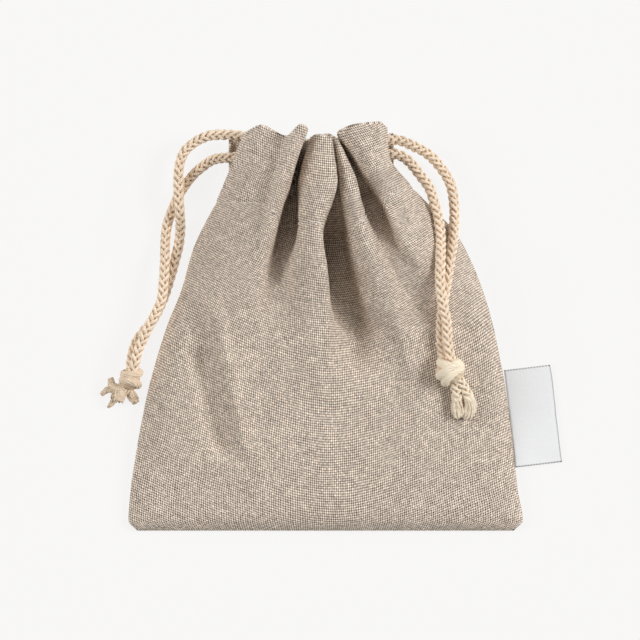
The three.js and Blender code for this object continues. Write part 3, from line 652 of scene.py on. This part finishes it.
def frames_along(points):
    """Two unit vectors across the curve at each point, turned as little as possible along it."""
    tangent = np.gradient(points, axis=0)
    tangent /= np.linalg.norm(tangent, axis=1, keepdims=True)
    first = np.cross(tangent[0], (0, 0, 1) if abs(tangent[0][2]) < 0.9 else (1, 0, 0))
    normal = [first / np.linalg.norm(first)]
    for t in tangent[1:]:
        n = normal[-1] - t * np.dot(normal[-1], t)
        normal.append(n / np.linalg.norm(n))
    normal = np.array(normal)
    return normal, np.cross(tangent, normal)


class Mesh:
    """Points and faces gathered from many small tubes, with three numbers for each point."""

    def __init__(self):
        self.verts, self.faces, self.marks, self.count = [], [], [], 0

    def skin(self, rings, ends, marks, inside_out=False):
        """Faces over rings of points, closed by one point at each end."""
        rows, sides = rings.shape[:2]
        base, last = self.count, self.count + (rows - 1) * sides
        first_end, last_end = last + sides, last + sides + 1
        self.count = last_end + 1
        self.verts += [rings.reshape(-1, 3), ends]
        self.marks.append(marks)
        i = base + np.arange(rows - 1)[:, None] * sides
        j = np.arange(sides)
        k = (j + 1) % sides
        faces = np.stack([i + j, i + k, i + sides + k, i + sides + j], axis=-1).reshape(-1, 4).tolist()
        for a, b in zip(j.tolist(), k.tolist()):
            faces += [[first_end, base + b, base + a], [last_end, last + a, last + b]]
        self.faces += [face[:1] + face[:0:-1] for face in faces] if inside_out else faces

    def tube(self, points, radius, sides, tone=0.0, along=None, axis=None, reach=1.0):
        """Closed tube; radius is one number or one for each point. Marks hold the run, the turn and a tone, or
        the distance from the axis as a share of the reach where an axis is given, which the yarn material
        turns into painted shade towards the axis."""
        normal, side = frames_along(points)
        turn = np.arange(sides) * 2 * math.pi / sides
        ring = np.cos(turn)[:, None] * normal[:, None] + np.sin(turn)[:, None] * side[:, None]
        rings = points[:, None] + ring * np.broadcast_to(radius, len(points))[:, None, None]
        if along is None:
            along = run_along(points)
        tones = tone if axis is None else np.linalg.norm(rings - axis[:, None], axis=2) / reach
        marks = np.stack(np.broadcast_arrays(along[:, None], turn, tones), axis=-1)
        end_marks = [[along[0], 0, tone], [along[-1], 0, tone]]
        self.skin(rings, points[[0, -1]], np.concatenate([marks.reshape(-1, 3), end_marks]))

    def braid(self, points, start=0.0):
        """Eight strands, four each way, each passing over two and under two."""
        run = start + run_along(points)
        normal, side = frames_along(points)
        rate = 2 * math.pi / BRAID["lay"]
        full = BRAID["radius"] + BRAID["sway"] + BRAID["strand"]
        for way, phase in ((1, -math.pi / 4), (-1, -3 * math.pi / 4)):
            for k in range(4):
                angle = (way * rate * run + k * math.pi / 2)[:, None]
                reach = BRAID["radius"] + BRAID["sway"] * np.cos(2 * rate * run + phase + k * math.pi)
                strand = points + reach[:, None] * (np.cos(angle) * normal + np.sin(angle) * side)
                self.tube(strand, BRAID["strand"], BRAID["sides"], along=run, axis=points, reach=full)
        self.tube(points, BRAID["radius"] * BRAID["core"], 8, along=run)

    def rope(self, points, radius):
        """Strands that lie side by side with hardly any twist."""
        run = run_along(points)
        normal, side = frames_along(points)
        full = radius * (ROPE["ring"] + ROPE["strand"])
        for k in range(ROPE["strands"]):
            angle = (2 * math.pi * (run / ROPE["lay"] + k / ROPE["strands"]))[:, None]
            strand = points + ROPE["ring"] * radius * (np.cos(angle) * normal + np.sin(angle) * side)
            self.tube(strand, radius * ROPE["strand"], 8, along=run, axis=points, reach=full)
        self.tube(points, radius * ROPE["core"], 8, tone=0.7, along=run)

    def bundle(self, route, root, tip, count, seed, flat=0.75):
        """Undone yarns side by side, which end at slightly different places."""
        rng = np.random.default_rng(seed)
        path = curve_through(route, BUNDLE["step"])
        normal, side = frames_along(path)
        share = np.linspace(0, 1, len(path))[:, None]
        width = (root + (tip - root) * share) * (1 - BUNDLE["taper"] * share**5)
        self.tube(path[:-2], width[:-2, 0] * BUNDLE["core"], 8, tone=0.85)
        wave = BUNDLE["wave"] * width * share
        for _ in range(count):
            turn, out = rng.uniform(0, 2 * math.pi), BUNDLE["spread"] * math.sqrt(rng.uniform(0.25, 1))
            curl = rng.uniform(0, 2 * math.pi, 2)
            across = width * out * math.cos(turn) + wave * np.sin(6 * share + curl[0])
            upward = flat * (width * out * math.sin(turn) + wave * np.sin(6 * share + curl[1]))
            kept = int(len(path) * rng.uniform(*BUNDLE["lengths"])) + 1
            yarn_path = (path + across * normal + upward * side)[:kept]
            thickness = np.linspace(BUNDLE["root"], BUNDLE["tip"], len(yarn_path))
            self.tube(yarn_path, thickness, 6, tone=rng.uniform(*BUNDLE["tones"]))

    def lump(self, middle, size, rows=12, columns=16):
        """Closed ellipsoid."""
        up = np.linspace(0, math.pi, rows + 1)[1:-1, None]
        turn = np.arange(columns) * 2 * math.pi / columns
        unit = np.broadcast_arrays(np.sin(up) * np.cos(turn), np.sin(up) * np.sin(turn), np.cos(up))
        rings = np.stack(unit, axis=-1) * size + middle
        ends = np.array([(0, 0, 1), (0, 0, -1)]) * size + middle
        verts = np.concatenate([rings.reshape(-1, 3), ends])
        marks = np.stack([verts[:, 1], verts[:, 0], np.full(len(verts), 0.7)], axis=1)
        self.skin(rings, ends, marks, inside_out=True)

    def build(self, name):
        obj = make_object(name, np.concatenate(self.verts), self.faces)
        mark(obj, "yarn_mm", np.concatenate(self.marks), "POINT")
        return obj


class Field:
    """A socket of a material that takes arithmetic: each operator adds the node that works it out."""

    def __init__(self, tree, socket):
        self.tree, self.socket = tree, socket

    def math(self, operation, *others):
        return node(self.tree, "ShaderNodeMath", {"operation": operation}, dict(enumerate((self, *others))))

    def __add__(self, other):
        return self.math("ADD", other)

    def __mul__(self, other):
        return self.math("MULTIPLY", other)

    def __sub__(self, other):
        return self.math("SUBTRACT", other)

    def __truediv__(self, other):
        return self.math("DIVIDE", other)

    def __mod__(self, other):
        return self.math("FLOORED_MODULO", other)

    def __pow__(self, other):
        return self.math("POWER", other)

    def __rsub__(self, other):
        return node(self.tree, "ShaderNodeMath", {"operation": "SUBTRACT"}, {0: other, 1: self})

    def __rtruediv__(self, other):
        return node(self.tree, "ShaderNodeMath", {"operation": "DIVIDE"}, {0: other, 1: self})

    __radd__ = __add__
    __rmul__ = __mul__

    def above(self, other):
        return self.math("GREATER_THAN", other)

    def most(self, other):
        return self.math("MAXIMUM", other)

    def least(self, other):
        return self.math("MINIMUM", other)

    def floor(self):
        return self.math("FLOOR")

    def cos(self):
        return self.math("COSINE")

    def sin(self):
        return self.math("SINE")

    def root(self):
        return self.math("SQRT")

    def held(self):
        """Between 0 and 1."""
        return self.most(0.0).least(1.0)


def node(tree, kind, settings=None, values=None, output=0):
    """Adds a node: settings first, then its inputs, each a number, a colour or a Field."""
    made = tree.nodes.new(kind)
    for key, value in (settings or {}).items():
        setattr(made, key, value)
    for key, value in (values or {}).items():
        if isinstance(value, Field):
            tree.links.new(value.socket, made.inputs[key])
        else:
            made.inputs[key].default_value = value
    return Field(tree, made.outputs[output])


def mix(share, low, high):
    """Colour between low and high."""
    return node(share.tree, "ShaderNodeMix", {"data_type": "RGBA"}, {0: share, 6: low, 7: high}, 2)


def noise(tree, place, scale, detail):
    """Soft random number round one half."""
    return node(tree, "ShaderNodeTexNoise", None, {"Vector": place, "Scale": scale, "Detail": detail})


def grain(tree, x, y):
    """Random number from 0 to 1, one for each pair of whole numbers."""
    place = joined(tree, x, y)
    return node(tree, "ShaderNodeTexWhiteNoise", {"noise_dimensions": "2D"}, {"Vector": place})


def joined(tree, x, y, z=0.0):
    """One place made of two or three numbers."""
    return node(tree, "ShaderNodeCombineXYZ", None, {0: x, 1: y, 2: z})


def parts_of(tree, name):
    """The three numbers that a mesh stores under this name."""
    vector = node(tree, "ShaderNodeAttribute", {"attribute_name": name}, None, "Vector")
    split = tree.nodes.new("ShaderNodeSeparateXYZ")
    tree.links.new(vector.socket, split.inputs[0])
    return [Field(tree, split.outputs[k]) for k in range(3)]


def colour(values):
    """The same colour with full opacity, as the sockets take it."""
    return (*values, 1.0)


def new_material(name, roughness, sheen=0.0, sheen_tint=(1, 1, 1)):
    """Plain material with its node tree and its shader, hardly glossy."""
    material = bpy.data.materials.new(name)
    material.use_nodes = True
    shader = material.node_tree.nodes["Principled BSDF"]
    shader.inputs["Roughness"].default_value = roughness
    shader.inputs["Specular IOR Level"].default_value = 0.12
    shader.inputs["Sheen Weight"].default_value = sheen
    shader.inputs["Sheen Roughness"].default_value = 0.5
    shader.inputs["Sheen Tint"].default_value = colour(sheen_tint)
    return material, material.node_tree, shader


def feed(tree, shader, base, height, distance, strength):
    """Links the colour, and the height through a bump that is this many metres deep."""
    tree.links.new(base.socket, shader.inputs["Base Color"])
    values = {"Height": height, "Distance": distance, "Strength": strength}
    bump = node(tree, "ShaderNodeBump", None, values, "Normal")
    tree.links.new(bump.socket, shader.inputs["Normal"])


def linen(settings):
    """Plain weave of uneven flax yarns, round warp and weft that pass over and under, with open holes, and
    painted shade that darkens the holes and the lower parts of the yarns.
    """
    material, tree, shader = new_material("linen", 0.9, 0.05, (1.0, 0.9, 0.78))
    u, v, _ = parts_of(tree, "cloth_mm")
    place = joined(tree, u, v)
    sway = noise(tree, place, 0.09, 1.0) - 0.5
    sway_back = noise(tree, joined(tree, v, u, 7.0), 0.09, 1.0) - 0.5
    across = (u + sway * WEAVE["sway"]) * (MM / settings.warp_pitch)
    along = (v + sway_back * WEAVE["sway"]) * (MM / settings.weft_pitch)
    warp, weft = across.floor(), along.floor()
    fu, fv = across - warp - 0.5, along - weft - 0.5
    side = 1.0 - 2.0 * ((warp + weft) % 2.0)
    hole = grain(tree, (across + 0.5).floor(), (along + 0.5).floor())
    cross = grain(tree, warp + 0.3, weft + 0.7)
    slub_warp = noise(tree, joined(tree, warp * 3.7, v * 0.3, 1.0), 1.0, 3.0)
    slub_weft = noise(tree, joined(tree, u * 0.3, weft * 3.7, 2.0), 1.0, 3.0)
    wide = settings.yarn_width * (0.85 + 0.3 * hole)
    wide_warp = wide * (0.64 + 0.52 * slub_warp)
    wide_weft = wide * (0.76 + 0.64 * slub_weft)
    round_warp = (1.0 - (fu / wide_warp) ** 2.0).most(0.0)
    round_weft = (1.0 - (fv / wide_weft) ** 2.0).most(0.0)
    high_warp = round_warp.root() + WEAVE["swing"] * side * (math.pi * fv).cos()
    high_weft = round_weft.root() - WEAVE["swing"] * side * (math.pi * fu).cos()
    hole_depth = WEAVE["hole"]
    high_warp = (high_warp + hole_depth) * round_warp.above(0.0001) - hole_depth
    high_weft = (high_weft + hole_depth) * round_weft.above(0.0001) - hole_depth
    height = high_warp.most(high_weft)
    on_warp = high_warp.above(high_weft)
    tone = on_warp * slub_warp + (1.0 - on_warp) * slub_weft
    fibre = noise(tree, joined(tree, u * 6.0, v * 6.0, on_warp * 5.0), 1.0, 3.0)
    # Painted shade: the lower a point of the weave, the nearer its colour runs from the yarn colour to the
    # gap's painted shade.
    light = ((height + hole_depth) * WEAVE["light"]).held() ** WEAVE["contrast"]
    depth = mix(light, colour(settings.painted_gap_shade), colour(settings.yarn_colour))
    patch = noise(tree, place, 0.05, 3.0)
    shade = (1.0 + 0.6 * (tone - 0.5)) * (0.84 + 0.32 * cross) * (0.97 + 0.06 * patch) + 0.2 * (fibre - 0.5)
    base = node(tree, "ShaderNodeVectorMath", {"operation": "SCALE"}, {0: depth, "Scale": shade})
    relief = height * 0.5 + 0.25 * fibre
    feed(tree, shader, base, relief, settings.yarn_height, 0.8)
    return material


def yarn(name, light, shade):
    """Twisted cotton: fine fibres that wind round each strand, with painted shade that darkens each strand
    towards the middle of the cord.
    """
    material, tree, shader = new_material(name, 0.8, 0.15, (1.0, 0.96, 0.88))
    along, turn, tone = parts_of(tree, "yarn_mm")
    twist = (turn * 2.0 + along * 3.4).sin()
    fibre = noise(tree, joined(tree, along * 1.2 + turn * 0.7, turn * 2.4 - along * 0.6), 1.6, 3.0)
    # Painted shade: darker where the tone is low, which for braided strands is nearer the middle of the cord,
    # in the grooves between them.
    share = ((tone - 0.54) * 2.9 + 0.16 * twist + 0.9 * (fibre - 0.5)).held()
    base = mix(share, colour(shade), colour(light))
    feed(tree, shader, base, twist * 0.35 + fibre, 0.00012, 0.7)
    return material


def satin(settings):
    """Fine diagonal twill of shiny thread, with grey woven edges at the top and bottom, painted shade between
    the ribs and painted shade along the fold.
    """
    material, tree, shader = new_material("satin", 0.42)
    u, v, from_fold = parts_of(tree, "cloth_mm")
    pitch = settings.twill_pitch / MM
    rib = ((u + v * 0.9) * (2 * math.pi / pitch)).sin()
    weft = (v * (2 * math.pi / (pitch * 0.5))).sin()
    uneven = noise(tree, joined(tree, u, v), 1.4, 3.0)
    end = 1.0 - ((v.least(LABEL["length"] - v)) / settings.edge_width * MM).held()
    band = (end * 4.0).held() * (0.7 + 0.3 * (u * (2 * math.pi / 0.9)).sin())
    # Painted shade along the fold, which takes the grey of the woven edges.
    fold = ((1.0 - from_fold) * 1.5).held()
    # Painted shade between the ribs, with random unevenness of tone on top.
    light = (0.75 + 0.24 * rib + 0.4 * (uneven - 0.5)).held()
    base = mix(light, colour(settings.painted_shade_colour), colour(settings.colour))
    base = mix((band * 0.75 + fold).held(), base, colour(settings.edge_and_fold_shade_colour))
    feed(tree, shader, base, rib * 0.5 + weft * 0.25 + uneven * 0.4, 0.00006, 0.6)
    return material


def metres(name, description, default, least=0.0001):
    """Property that holds a length."""
    return bpy.props.FloatProperty(
        name=name, description=description, default=default, min=least, precision=5,
        subtype="DISTANCE", unit="LENGTH")


def tint(name, description, default):
    """Property that holds a colour."""
    return bpy.props.FloatVectorProperty(
        name=name, description=description, default=default, size=3, min=0, max=1, subtype="COLOR")


class PouchCloth(bpy.types.PropertyGroup):
    warp_pitch: metres("Warp pitch", "Distance between the upright yarns", 0.00064)
    weft_pitch: metres("Weft pitch", "Distance between the crosswise yarns", 0.00078)
    weft_bow: bpy.props.FloatProperty(
        name="Weft bow", description="Share of the slopes at which the crosswise yarns sag", default=1.0)
    bow_middle: metres("Bow middle", "Where the crosswise yarns are lowest, to the right", 0.002, -1.0)
    bow_reach: metres("Bow reach", "Half width of the level middle", 0.014, 0.001)
    yarn_width: bpy.props.FloatProperty(
        name="Yarn width", description="Half width of a yarn as a share of the pitch", default=0.34,
        min=0.2, max=0.6, subtype="FACTOR")
    yarn_height: metres("Yarn relief", "Depth of the weave's relief", 0.00016, 0.0)
    # The yarn colour is the flax's own; the gap colour is painted shade in the holes and down the sides of the
    # yarns.
    yarn_colour: tint("Yarn", "Colour of the flax on top", (1.0, 0.868, 0.74))
    painted_gap_shade: tint("Gap", "Colour between the yarns", (0.09, 0.045, 0.016))
    thread_colour: tint("Sewing thread", "Colour of the stitches", (0.88, 0.82, 0.75))


class PouchCord(bpy.types.PropertyGroup):
    colour: tint("Cord", "Colour of the cotton", (1.0, 0.83, 0.65))
    # Painted shade in the grooves between the strands of the cords and knots.
    painted_shade_colour: tint("Cord shade", "Colour between the fibres", (0.56, 0.37, 0.22))
    # Painted light: the right knot and its undone ends take a lighter copy of the cord's cotton colour.
    lit_knot_colour: tint("Undone cord", "Colour of the right knot and of its undone ends", (1.0, 0.88, 0.7))
    # Painted shade: the left knot and its undone ends take a darker copy of the cord's cotton colour.
    shaded_knot_colour: tint("Shaded knot", "Colour of the left knot and of its undone ends", (0.84, 0.68, 0.51))
    wisp_yarns: bpy.props.IntProperty(
        name="Yarns of a wisp", description="Loose yarns in each wisp of an undone end", default=26,
        min=4, max=60)


class PouchLabel(bpy.types.PropertyGroup):
    twill_pitch: metres("Twill pitch", "Distance between the ribbon's diagonal ribs", 0.00055)
    edge_width: metres("Edge width", "Width of the woven edges", 0.00045)
    colour: tint("Ribbon", "Colour of the satin", (0.94, 0.945, 0.95))
    # Painted shade between the ribs.
    painted_shade_colour: tint("Ribbon shade", "Colour between the ribs", (0.74, 0.745, 0.75))
    # The woven edges' own grey, used again as painted shade along the fold.
    edge_and_fold_shade_colour: tint("Edges", "Colour of the woven edges and of the fold", (0.22, 0.22, 0.23))


class PouchStage(bpy.types.PropertyGroup):
    camera_distance: metres("Camera height", "Height of the camera over the surface", 3.0, 0.3)
    view_width: metres("View width", "Width of the surface that the camera sees", 0.1949, 0.05)
    floor_colour: tint("Floor", "Colour of the surface", (0.945, 0.94, 0.93))
    light_strength: bpy.props.FloatProperty(
        name="Lights", description="Strength of the soft lights together", default=4.3, min=0)
    world_strength: bpy.props.FloatProperty(
        name="Sky", description="Strength of the even light all round", default=0.13, min=0)


class POUCH_OT_stage(bpy.types.Operator):
    """Adds the camera, the lights and the pale surface"""

    bl_idname = "pouch.stage"
    bl_label = "Stage"

    def execute(self, context):
        settings = context.scene.pouch_stage
        scene = context.scene
        scene.view_settings.view_transform = "Standard"
        camera = link_object("camera", bpy.data.cameras.new("camera"))
        camera.location = (*CAMERA_AT, settings.camera_distance)
        camera.data.sensor_width = SENSOR
        camera.data.lens = SENSOR * settings.camera_distance / settings.view_width
        scene.camera = camera
        add_lights(scene, settings)
        add_floor(settings)
        return {"FINISHED"}


def add_lights(scene, settings):
    world = bpy.data.worlds.new("studio")
    world.use_nodes = True
    background = world.node_tree.nodes["Background"]
    background.inputs["Color"].default_value = (1.0, 1.0, 1.0, 1.0)
    background.inputs["Strength"].default_value = settings.world_strength
    scene.world = world
    for name, way, share in LIGHTS:
        light = bpy.data.lights.new(name, "SUN")
        light.energy = settings.light_strength * share
        light.angle = math.radians(LIGHT_ANGLE)
        lamp = link_object(name, light)
        lamp.rotation_euler = Vector(way).to_track_quat("-Z", "Y").to_euler()


def add_floor(settings):
    mesh = bpy.data.meshes.new("floor")
    half, z = FLOOR["half"], FLOOR["z"]
    corners = [(-half, -half, z), (half, -half, z), (half, half, z), (-half, half, z)]
    mesh.from_pydata(corners, [], [(0, 1, 2, 3)])
    floor = link_object("floor", mesh)
    material, _, shader = new_material("floor", 0.9)
    shader.inputs["Base Color"].default_value = colour([0.1 * c for c in settings.floor_colour])
    shader.inputs["Specular IOR Level"].default_value = 0.0
    shader.inputs["Emission Color"].default_value = colour(settings.floor_colour)
    shader.inputs["Emission Strength"].default_value = 0.9
    mesh.materials.append(material)


def finish_piece(obj, material, slot, *nodes):
    obj.data.materials.append(material)
    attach(obj, "root")
    if nodes:
        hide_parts(*nodes)


class POUCH_OT_cords(bpy.types.Operator):
    """Braids the four lengths of cord that come out of the channel"""

    bl_idname = "pouch.cords"
    bl_label = "Cords"

    def execute(self, context):
        settings = context.scene.pouch_cord
        material = yarn("cotton", settings.colour, settings.painted_shade_colour)
        for name, route in CORDS.items():
            mesh = Mesh()
            mesh.braid(curve_through(route, BRAID["step"]))
            finish_piece(mesh.build("braid_" + name), material, "cord", name)
        return {"FINISHED"}


def declare_cords():
    for name, route in CORDS.items():
        metres = to_metres(curve_through(route, BRAID["step"]))


def tilted_ring(radius, lean, turn, middle):
    """Points round one turn of cord: a circle that leans and is turned about the upright."""
    t = np.linspace(0, 2 * math.pi, 64)
    y, z = turned(radius * np.sin(t), 0, 90 + lean)
    x, y = turned(radius * np.cos(t), y, turn)
    return np.stack([x, y, z], axis=1) + middle


class POUCH_OT_knots(bpy.types.Operator):
    """Ties the knots and frays the cord ends"""

    bl_idname = "pouch.knots"
    bl_label = "Knots"

    def execute(self, context):
        settings = context.scene.pouch_cord
        materials = {
            # Painted shade: the left knot's cotton is a darker copy.
            "left_knot": yarn("shaded_knot_cotton", settings.shaded_knot_colour, settings.painted_shade_colour),
            # Painted light: the right knot's cotton is a lighter copy.
            "right_knot": yarn("lit_knot_cotton", settings.lit_knot_colour, settings.painted_shade_colour),
        }
        for name, knot in KNOTS.items():
            mesh = Mesh()
            middle = np.array(knot["middle"])
            mesh.lump(middle, knot["core"])
            for wrap in knot["wraps"]:
                mesh.rope(respace(tilted_ring(*wrap) + middle, BRAID["step"]), knot["thick"] / 2)
            for k, (route, root, tip) in enumerate(knot["wisps"]):
                mesh.bundle(np.array(route) + middle, root, tip, settings.wisp_yarns, WISP_SEED + k)
            for k, (route, undone) in enumerate(knot["tails"]):
                path = curve_through(np.array(route) + middle, BRAID["step"])
                loose = round(undone / BRAID["step"])
                mesh.braid(path[: 4 - loose], start=TAIL_SHIFT * k)
                tassel = path[-loose - 4 :: 4]
                count = 2 * settings.wisp_yarns
                mesh.bundle(tassel, TASSEL["root"], TASSEL["tip"], count, TASSEL_SEED + k, TASSEL["flat"])
            for verts in mesh.verts:
                verts[:, 2] = np.maximum(verts[:, 2], LOWEST_COTTON)
            finish_piece(mesh.build("tied_" + name), materials[name], "cord", name)
        declare_cords()
        return {"FINISHED"}


class POUCH_OT_cloth(bpy.types.Operator):
    """Drapes the gathered linen, front and back in one sheet"""

    bl_idname = "pouch.cloth"
    bl_label = "Cloth"

    def execute(self, context):
        points, faces, places = cloth_surface(context.scene.pouch_cloth)
        rows = np.linspace(0, FLAT_LENGTH, GRID["rows"])
        lengths = np.concatenate([np.repeat(rows, GRID["front"]), np.repeat(rows, GRID["back"])])
        thickness = FABRIC + (CHANNEL_FABRIC - FABRIC) * ramp(lengths, STITCH, STITCH + THICKENS_OVER)
        verts, faces, places = thicken(points, faces, places, thickness)
        cloth = make_object("linen_body", verts, faces)
        mark(cloth, "cloth_mm", [(u, v, 0.0) for place in places for u, v in place], "CORNER")
        finish_piece(cloth, linen(context.scene.pouch_cloth), "linen", "pouch_cloth")
        return {"FINISHED"}


class POUCH_OT_stitches(bpy.types.Operator):
    """Sews the line of stitches under the channel, front and back"""

    bl_idname = "pouch.stitches"
    bl_label = "Stitches"

    def execute(self, context):
        mesh = Mesh()
        cloth = np.linspace(0.6, FLAT_WIDTH - 0.6, 900)
        lengths = np.array([STITCH - 0.4, STITCH, STITCH + 0.4])
        grid = dressed_front(cloth, lengths)
        add_stitches(mesh, grid[1], normals_of(grid)[1])
        low, low_normals = dressed_back(cloth, lengths)
        add_stitches(mesh, low[1], -low_normals[1])
        material, _, shader = new_material("thread", 0.6)
        shader.inputs["Base Color"].default_value = colour(context.scene.pouch_cloth.thread_colour)
        finish_piece(mesh.build("channel_stitches"), material, "linen")
        return {"FINISHED"}


def add_stitches(mesh, line, normals):
    """Short threads along a line, each dipping into the cloth at both ends."""
    run = run_along(line)
    rng = np.random.default_rng(7)
    lift = np.array(STITCH_LIFT)[:, None]
    count = len(lift)
    for start in np.arange(0.4, run[-1] - SEWING["pitch"], SEWING["pitch"]):
        at = start + np.linspace(0, SEWING["stitch"], count)
        slant = rng.uniform(-SEWING["slant"], SEWING["slant"]) * np.linspace(-1, 1, count)[:, None]
        path = read_along(line, run, at) + read_along(normals, run, at) * lift + slant * np.array([0, 1, 0])
        mesh.tube(path, SEWING["thread"], 6)


class POUCH_OT_label(bpy.types.Operator):
    """Folds the satin ribbon that stands out of the right seam"""

    bl_idname = "pouch.label"
    bl_label = "Label"

    def execute(self, context):
        outer, inner = label_profile(0.0), label_profile(LABEL["layer"])
        run = run_along(outer)
        down = np.linspace(0, LABEL["length"], LABEL["rows"])
        loop = np.concatenate([outer, inner[::-1]])
        count = len(loop)
        x, y, z = np.array([(x, -y, z) for y in down for x, z in loop]).T
        u = np.tile(np.concatenate([run, run[::-1]]), len(down))
        v = np.repeat(down, count)
        # Small waves away from the seam.
        z = z + 0.16 * value_noise(x, y, 6.0, 31) * ramp(x, 2, 10)
        x = x + 0.12 * value_noise(y, 0 * z, 4.0, 32) * ramp(x, 8, 13)
        x, z = turned(x, z, -LABEL["droop"])
        x, y = turned(x, y, LABEL["tilt"])
        faces = []
        for row in range(0, (len(down) - 1) * count, count):
            for j in range(count):
                k = (j + 1) % count
                faces.append([row + j, row + count + j, row + count + k, row + k])
        last = (len(down) - 1) * count
        for j in range(len(outer) - 1):
            edge = [j, j + 1, count - 2 - j, count - 1 - j]
            faces += [edge, [last + k for k in (j + 1, j, count - 1 - j, count - 2 - j)]]
        label = make_object("satin_label", np.stack([x, y, z], axis=1) + LABEL["at"], faces)
        from_fold = np.abs(u - run[np.argmax(outer[:, 0])])
        mark(label, "cloth_mm", np.stack([u, v, from_fold], axis=1), "POINT")
        finish_piece(label, satin(context.scene.pouch_label), "satin", "label")
        return {"FINISHED"}


def label_height():
    """Both layers of the folded ribbon with the gap between them."""
    return 2 * LABEL["layer"] + LABEL["gap"]


def label_profile(inset):
    """Section of the folded ribbon, one layer out, round the fold and back, set in by this much."""
    height = label_height()
    fold = LABEL["width"] - height / 2
    radius = height / 2 - inset
    turn = np.linspace(-math.pi / 2, math.pi / 2, LABEL["bend"])
    across = np.linspace(0, fold, LABEL["columns"])[:-1]
    low = [(x, inset) for x in across]
    bend = np.stack([fold + radius * np.cos(turn), height / 2 + radius * np.sin(turn)], axis=1)
    high = [(x, height - inset) for x in across[::-1]]
    return np.concatenate([low, bend, high])


class POUCH_PT_panel(bpy.types.Panel):
    """Lists the pieces of the pouch"""

    bl_idname = "POUCH_PT_panel"
    bl_label = "Linen pouch"
    bl_space_type = "VIEW_3D"
    bl_region_type = "UI"
    bl_category = "Pouch"

    def draw(self, context):
        for operator in OPERATORS:
            self.layout.operator(operator.bl_idname)
        for group in GROUPS:
            settings = getattr(context.scene, group)
            for key in settings.__annotations__:
                self.layout.prop(settings, key)


GROUPS = {
    "pouch_cloth": PouchCloth,
    "pouch_cord": PouchCord,
    "pouch_label": PouchLabel,
    "pouch_stage": PouchStage,
}
OPERATORS = [
    POUCH_OT_stage, POUCH_OT_cords, POUCH_OT_knots, POUCH_OT_cloth, POUCH_OT_stitches, POUCH_OT_label,
]
CLASSES = [*GROUPS.values(), *OPERATORS, POUCH_PT_panel]


def register():
    for cls in CLASSES:
        bpy.utils.register_class(cls)
    for name, cls in GROUPS.items():
        setattr(bpy.types.Scene, name, bpy.props.PointerProperty(type=cls))


def unregister():
    for name in GROUPS:
        delattr(bpy.types.Scene, name)
    for cls in reversed(CLASSES):
        bpy.utils.unregister_class(cls)


def main():
    register()
    bpy.ops.pouch.stage()
    bpy.ops.pouch.cords()
    bpy.ops.pouch.knots()
    bpy.ops.pouch.cloth()
    bpy.ops.pouch.stitches()
    bpy.ops.pouch.label()


if __name__ == "__main__":
    main()
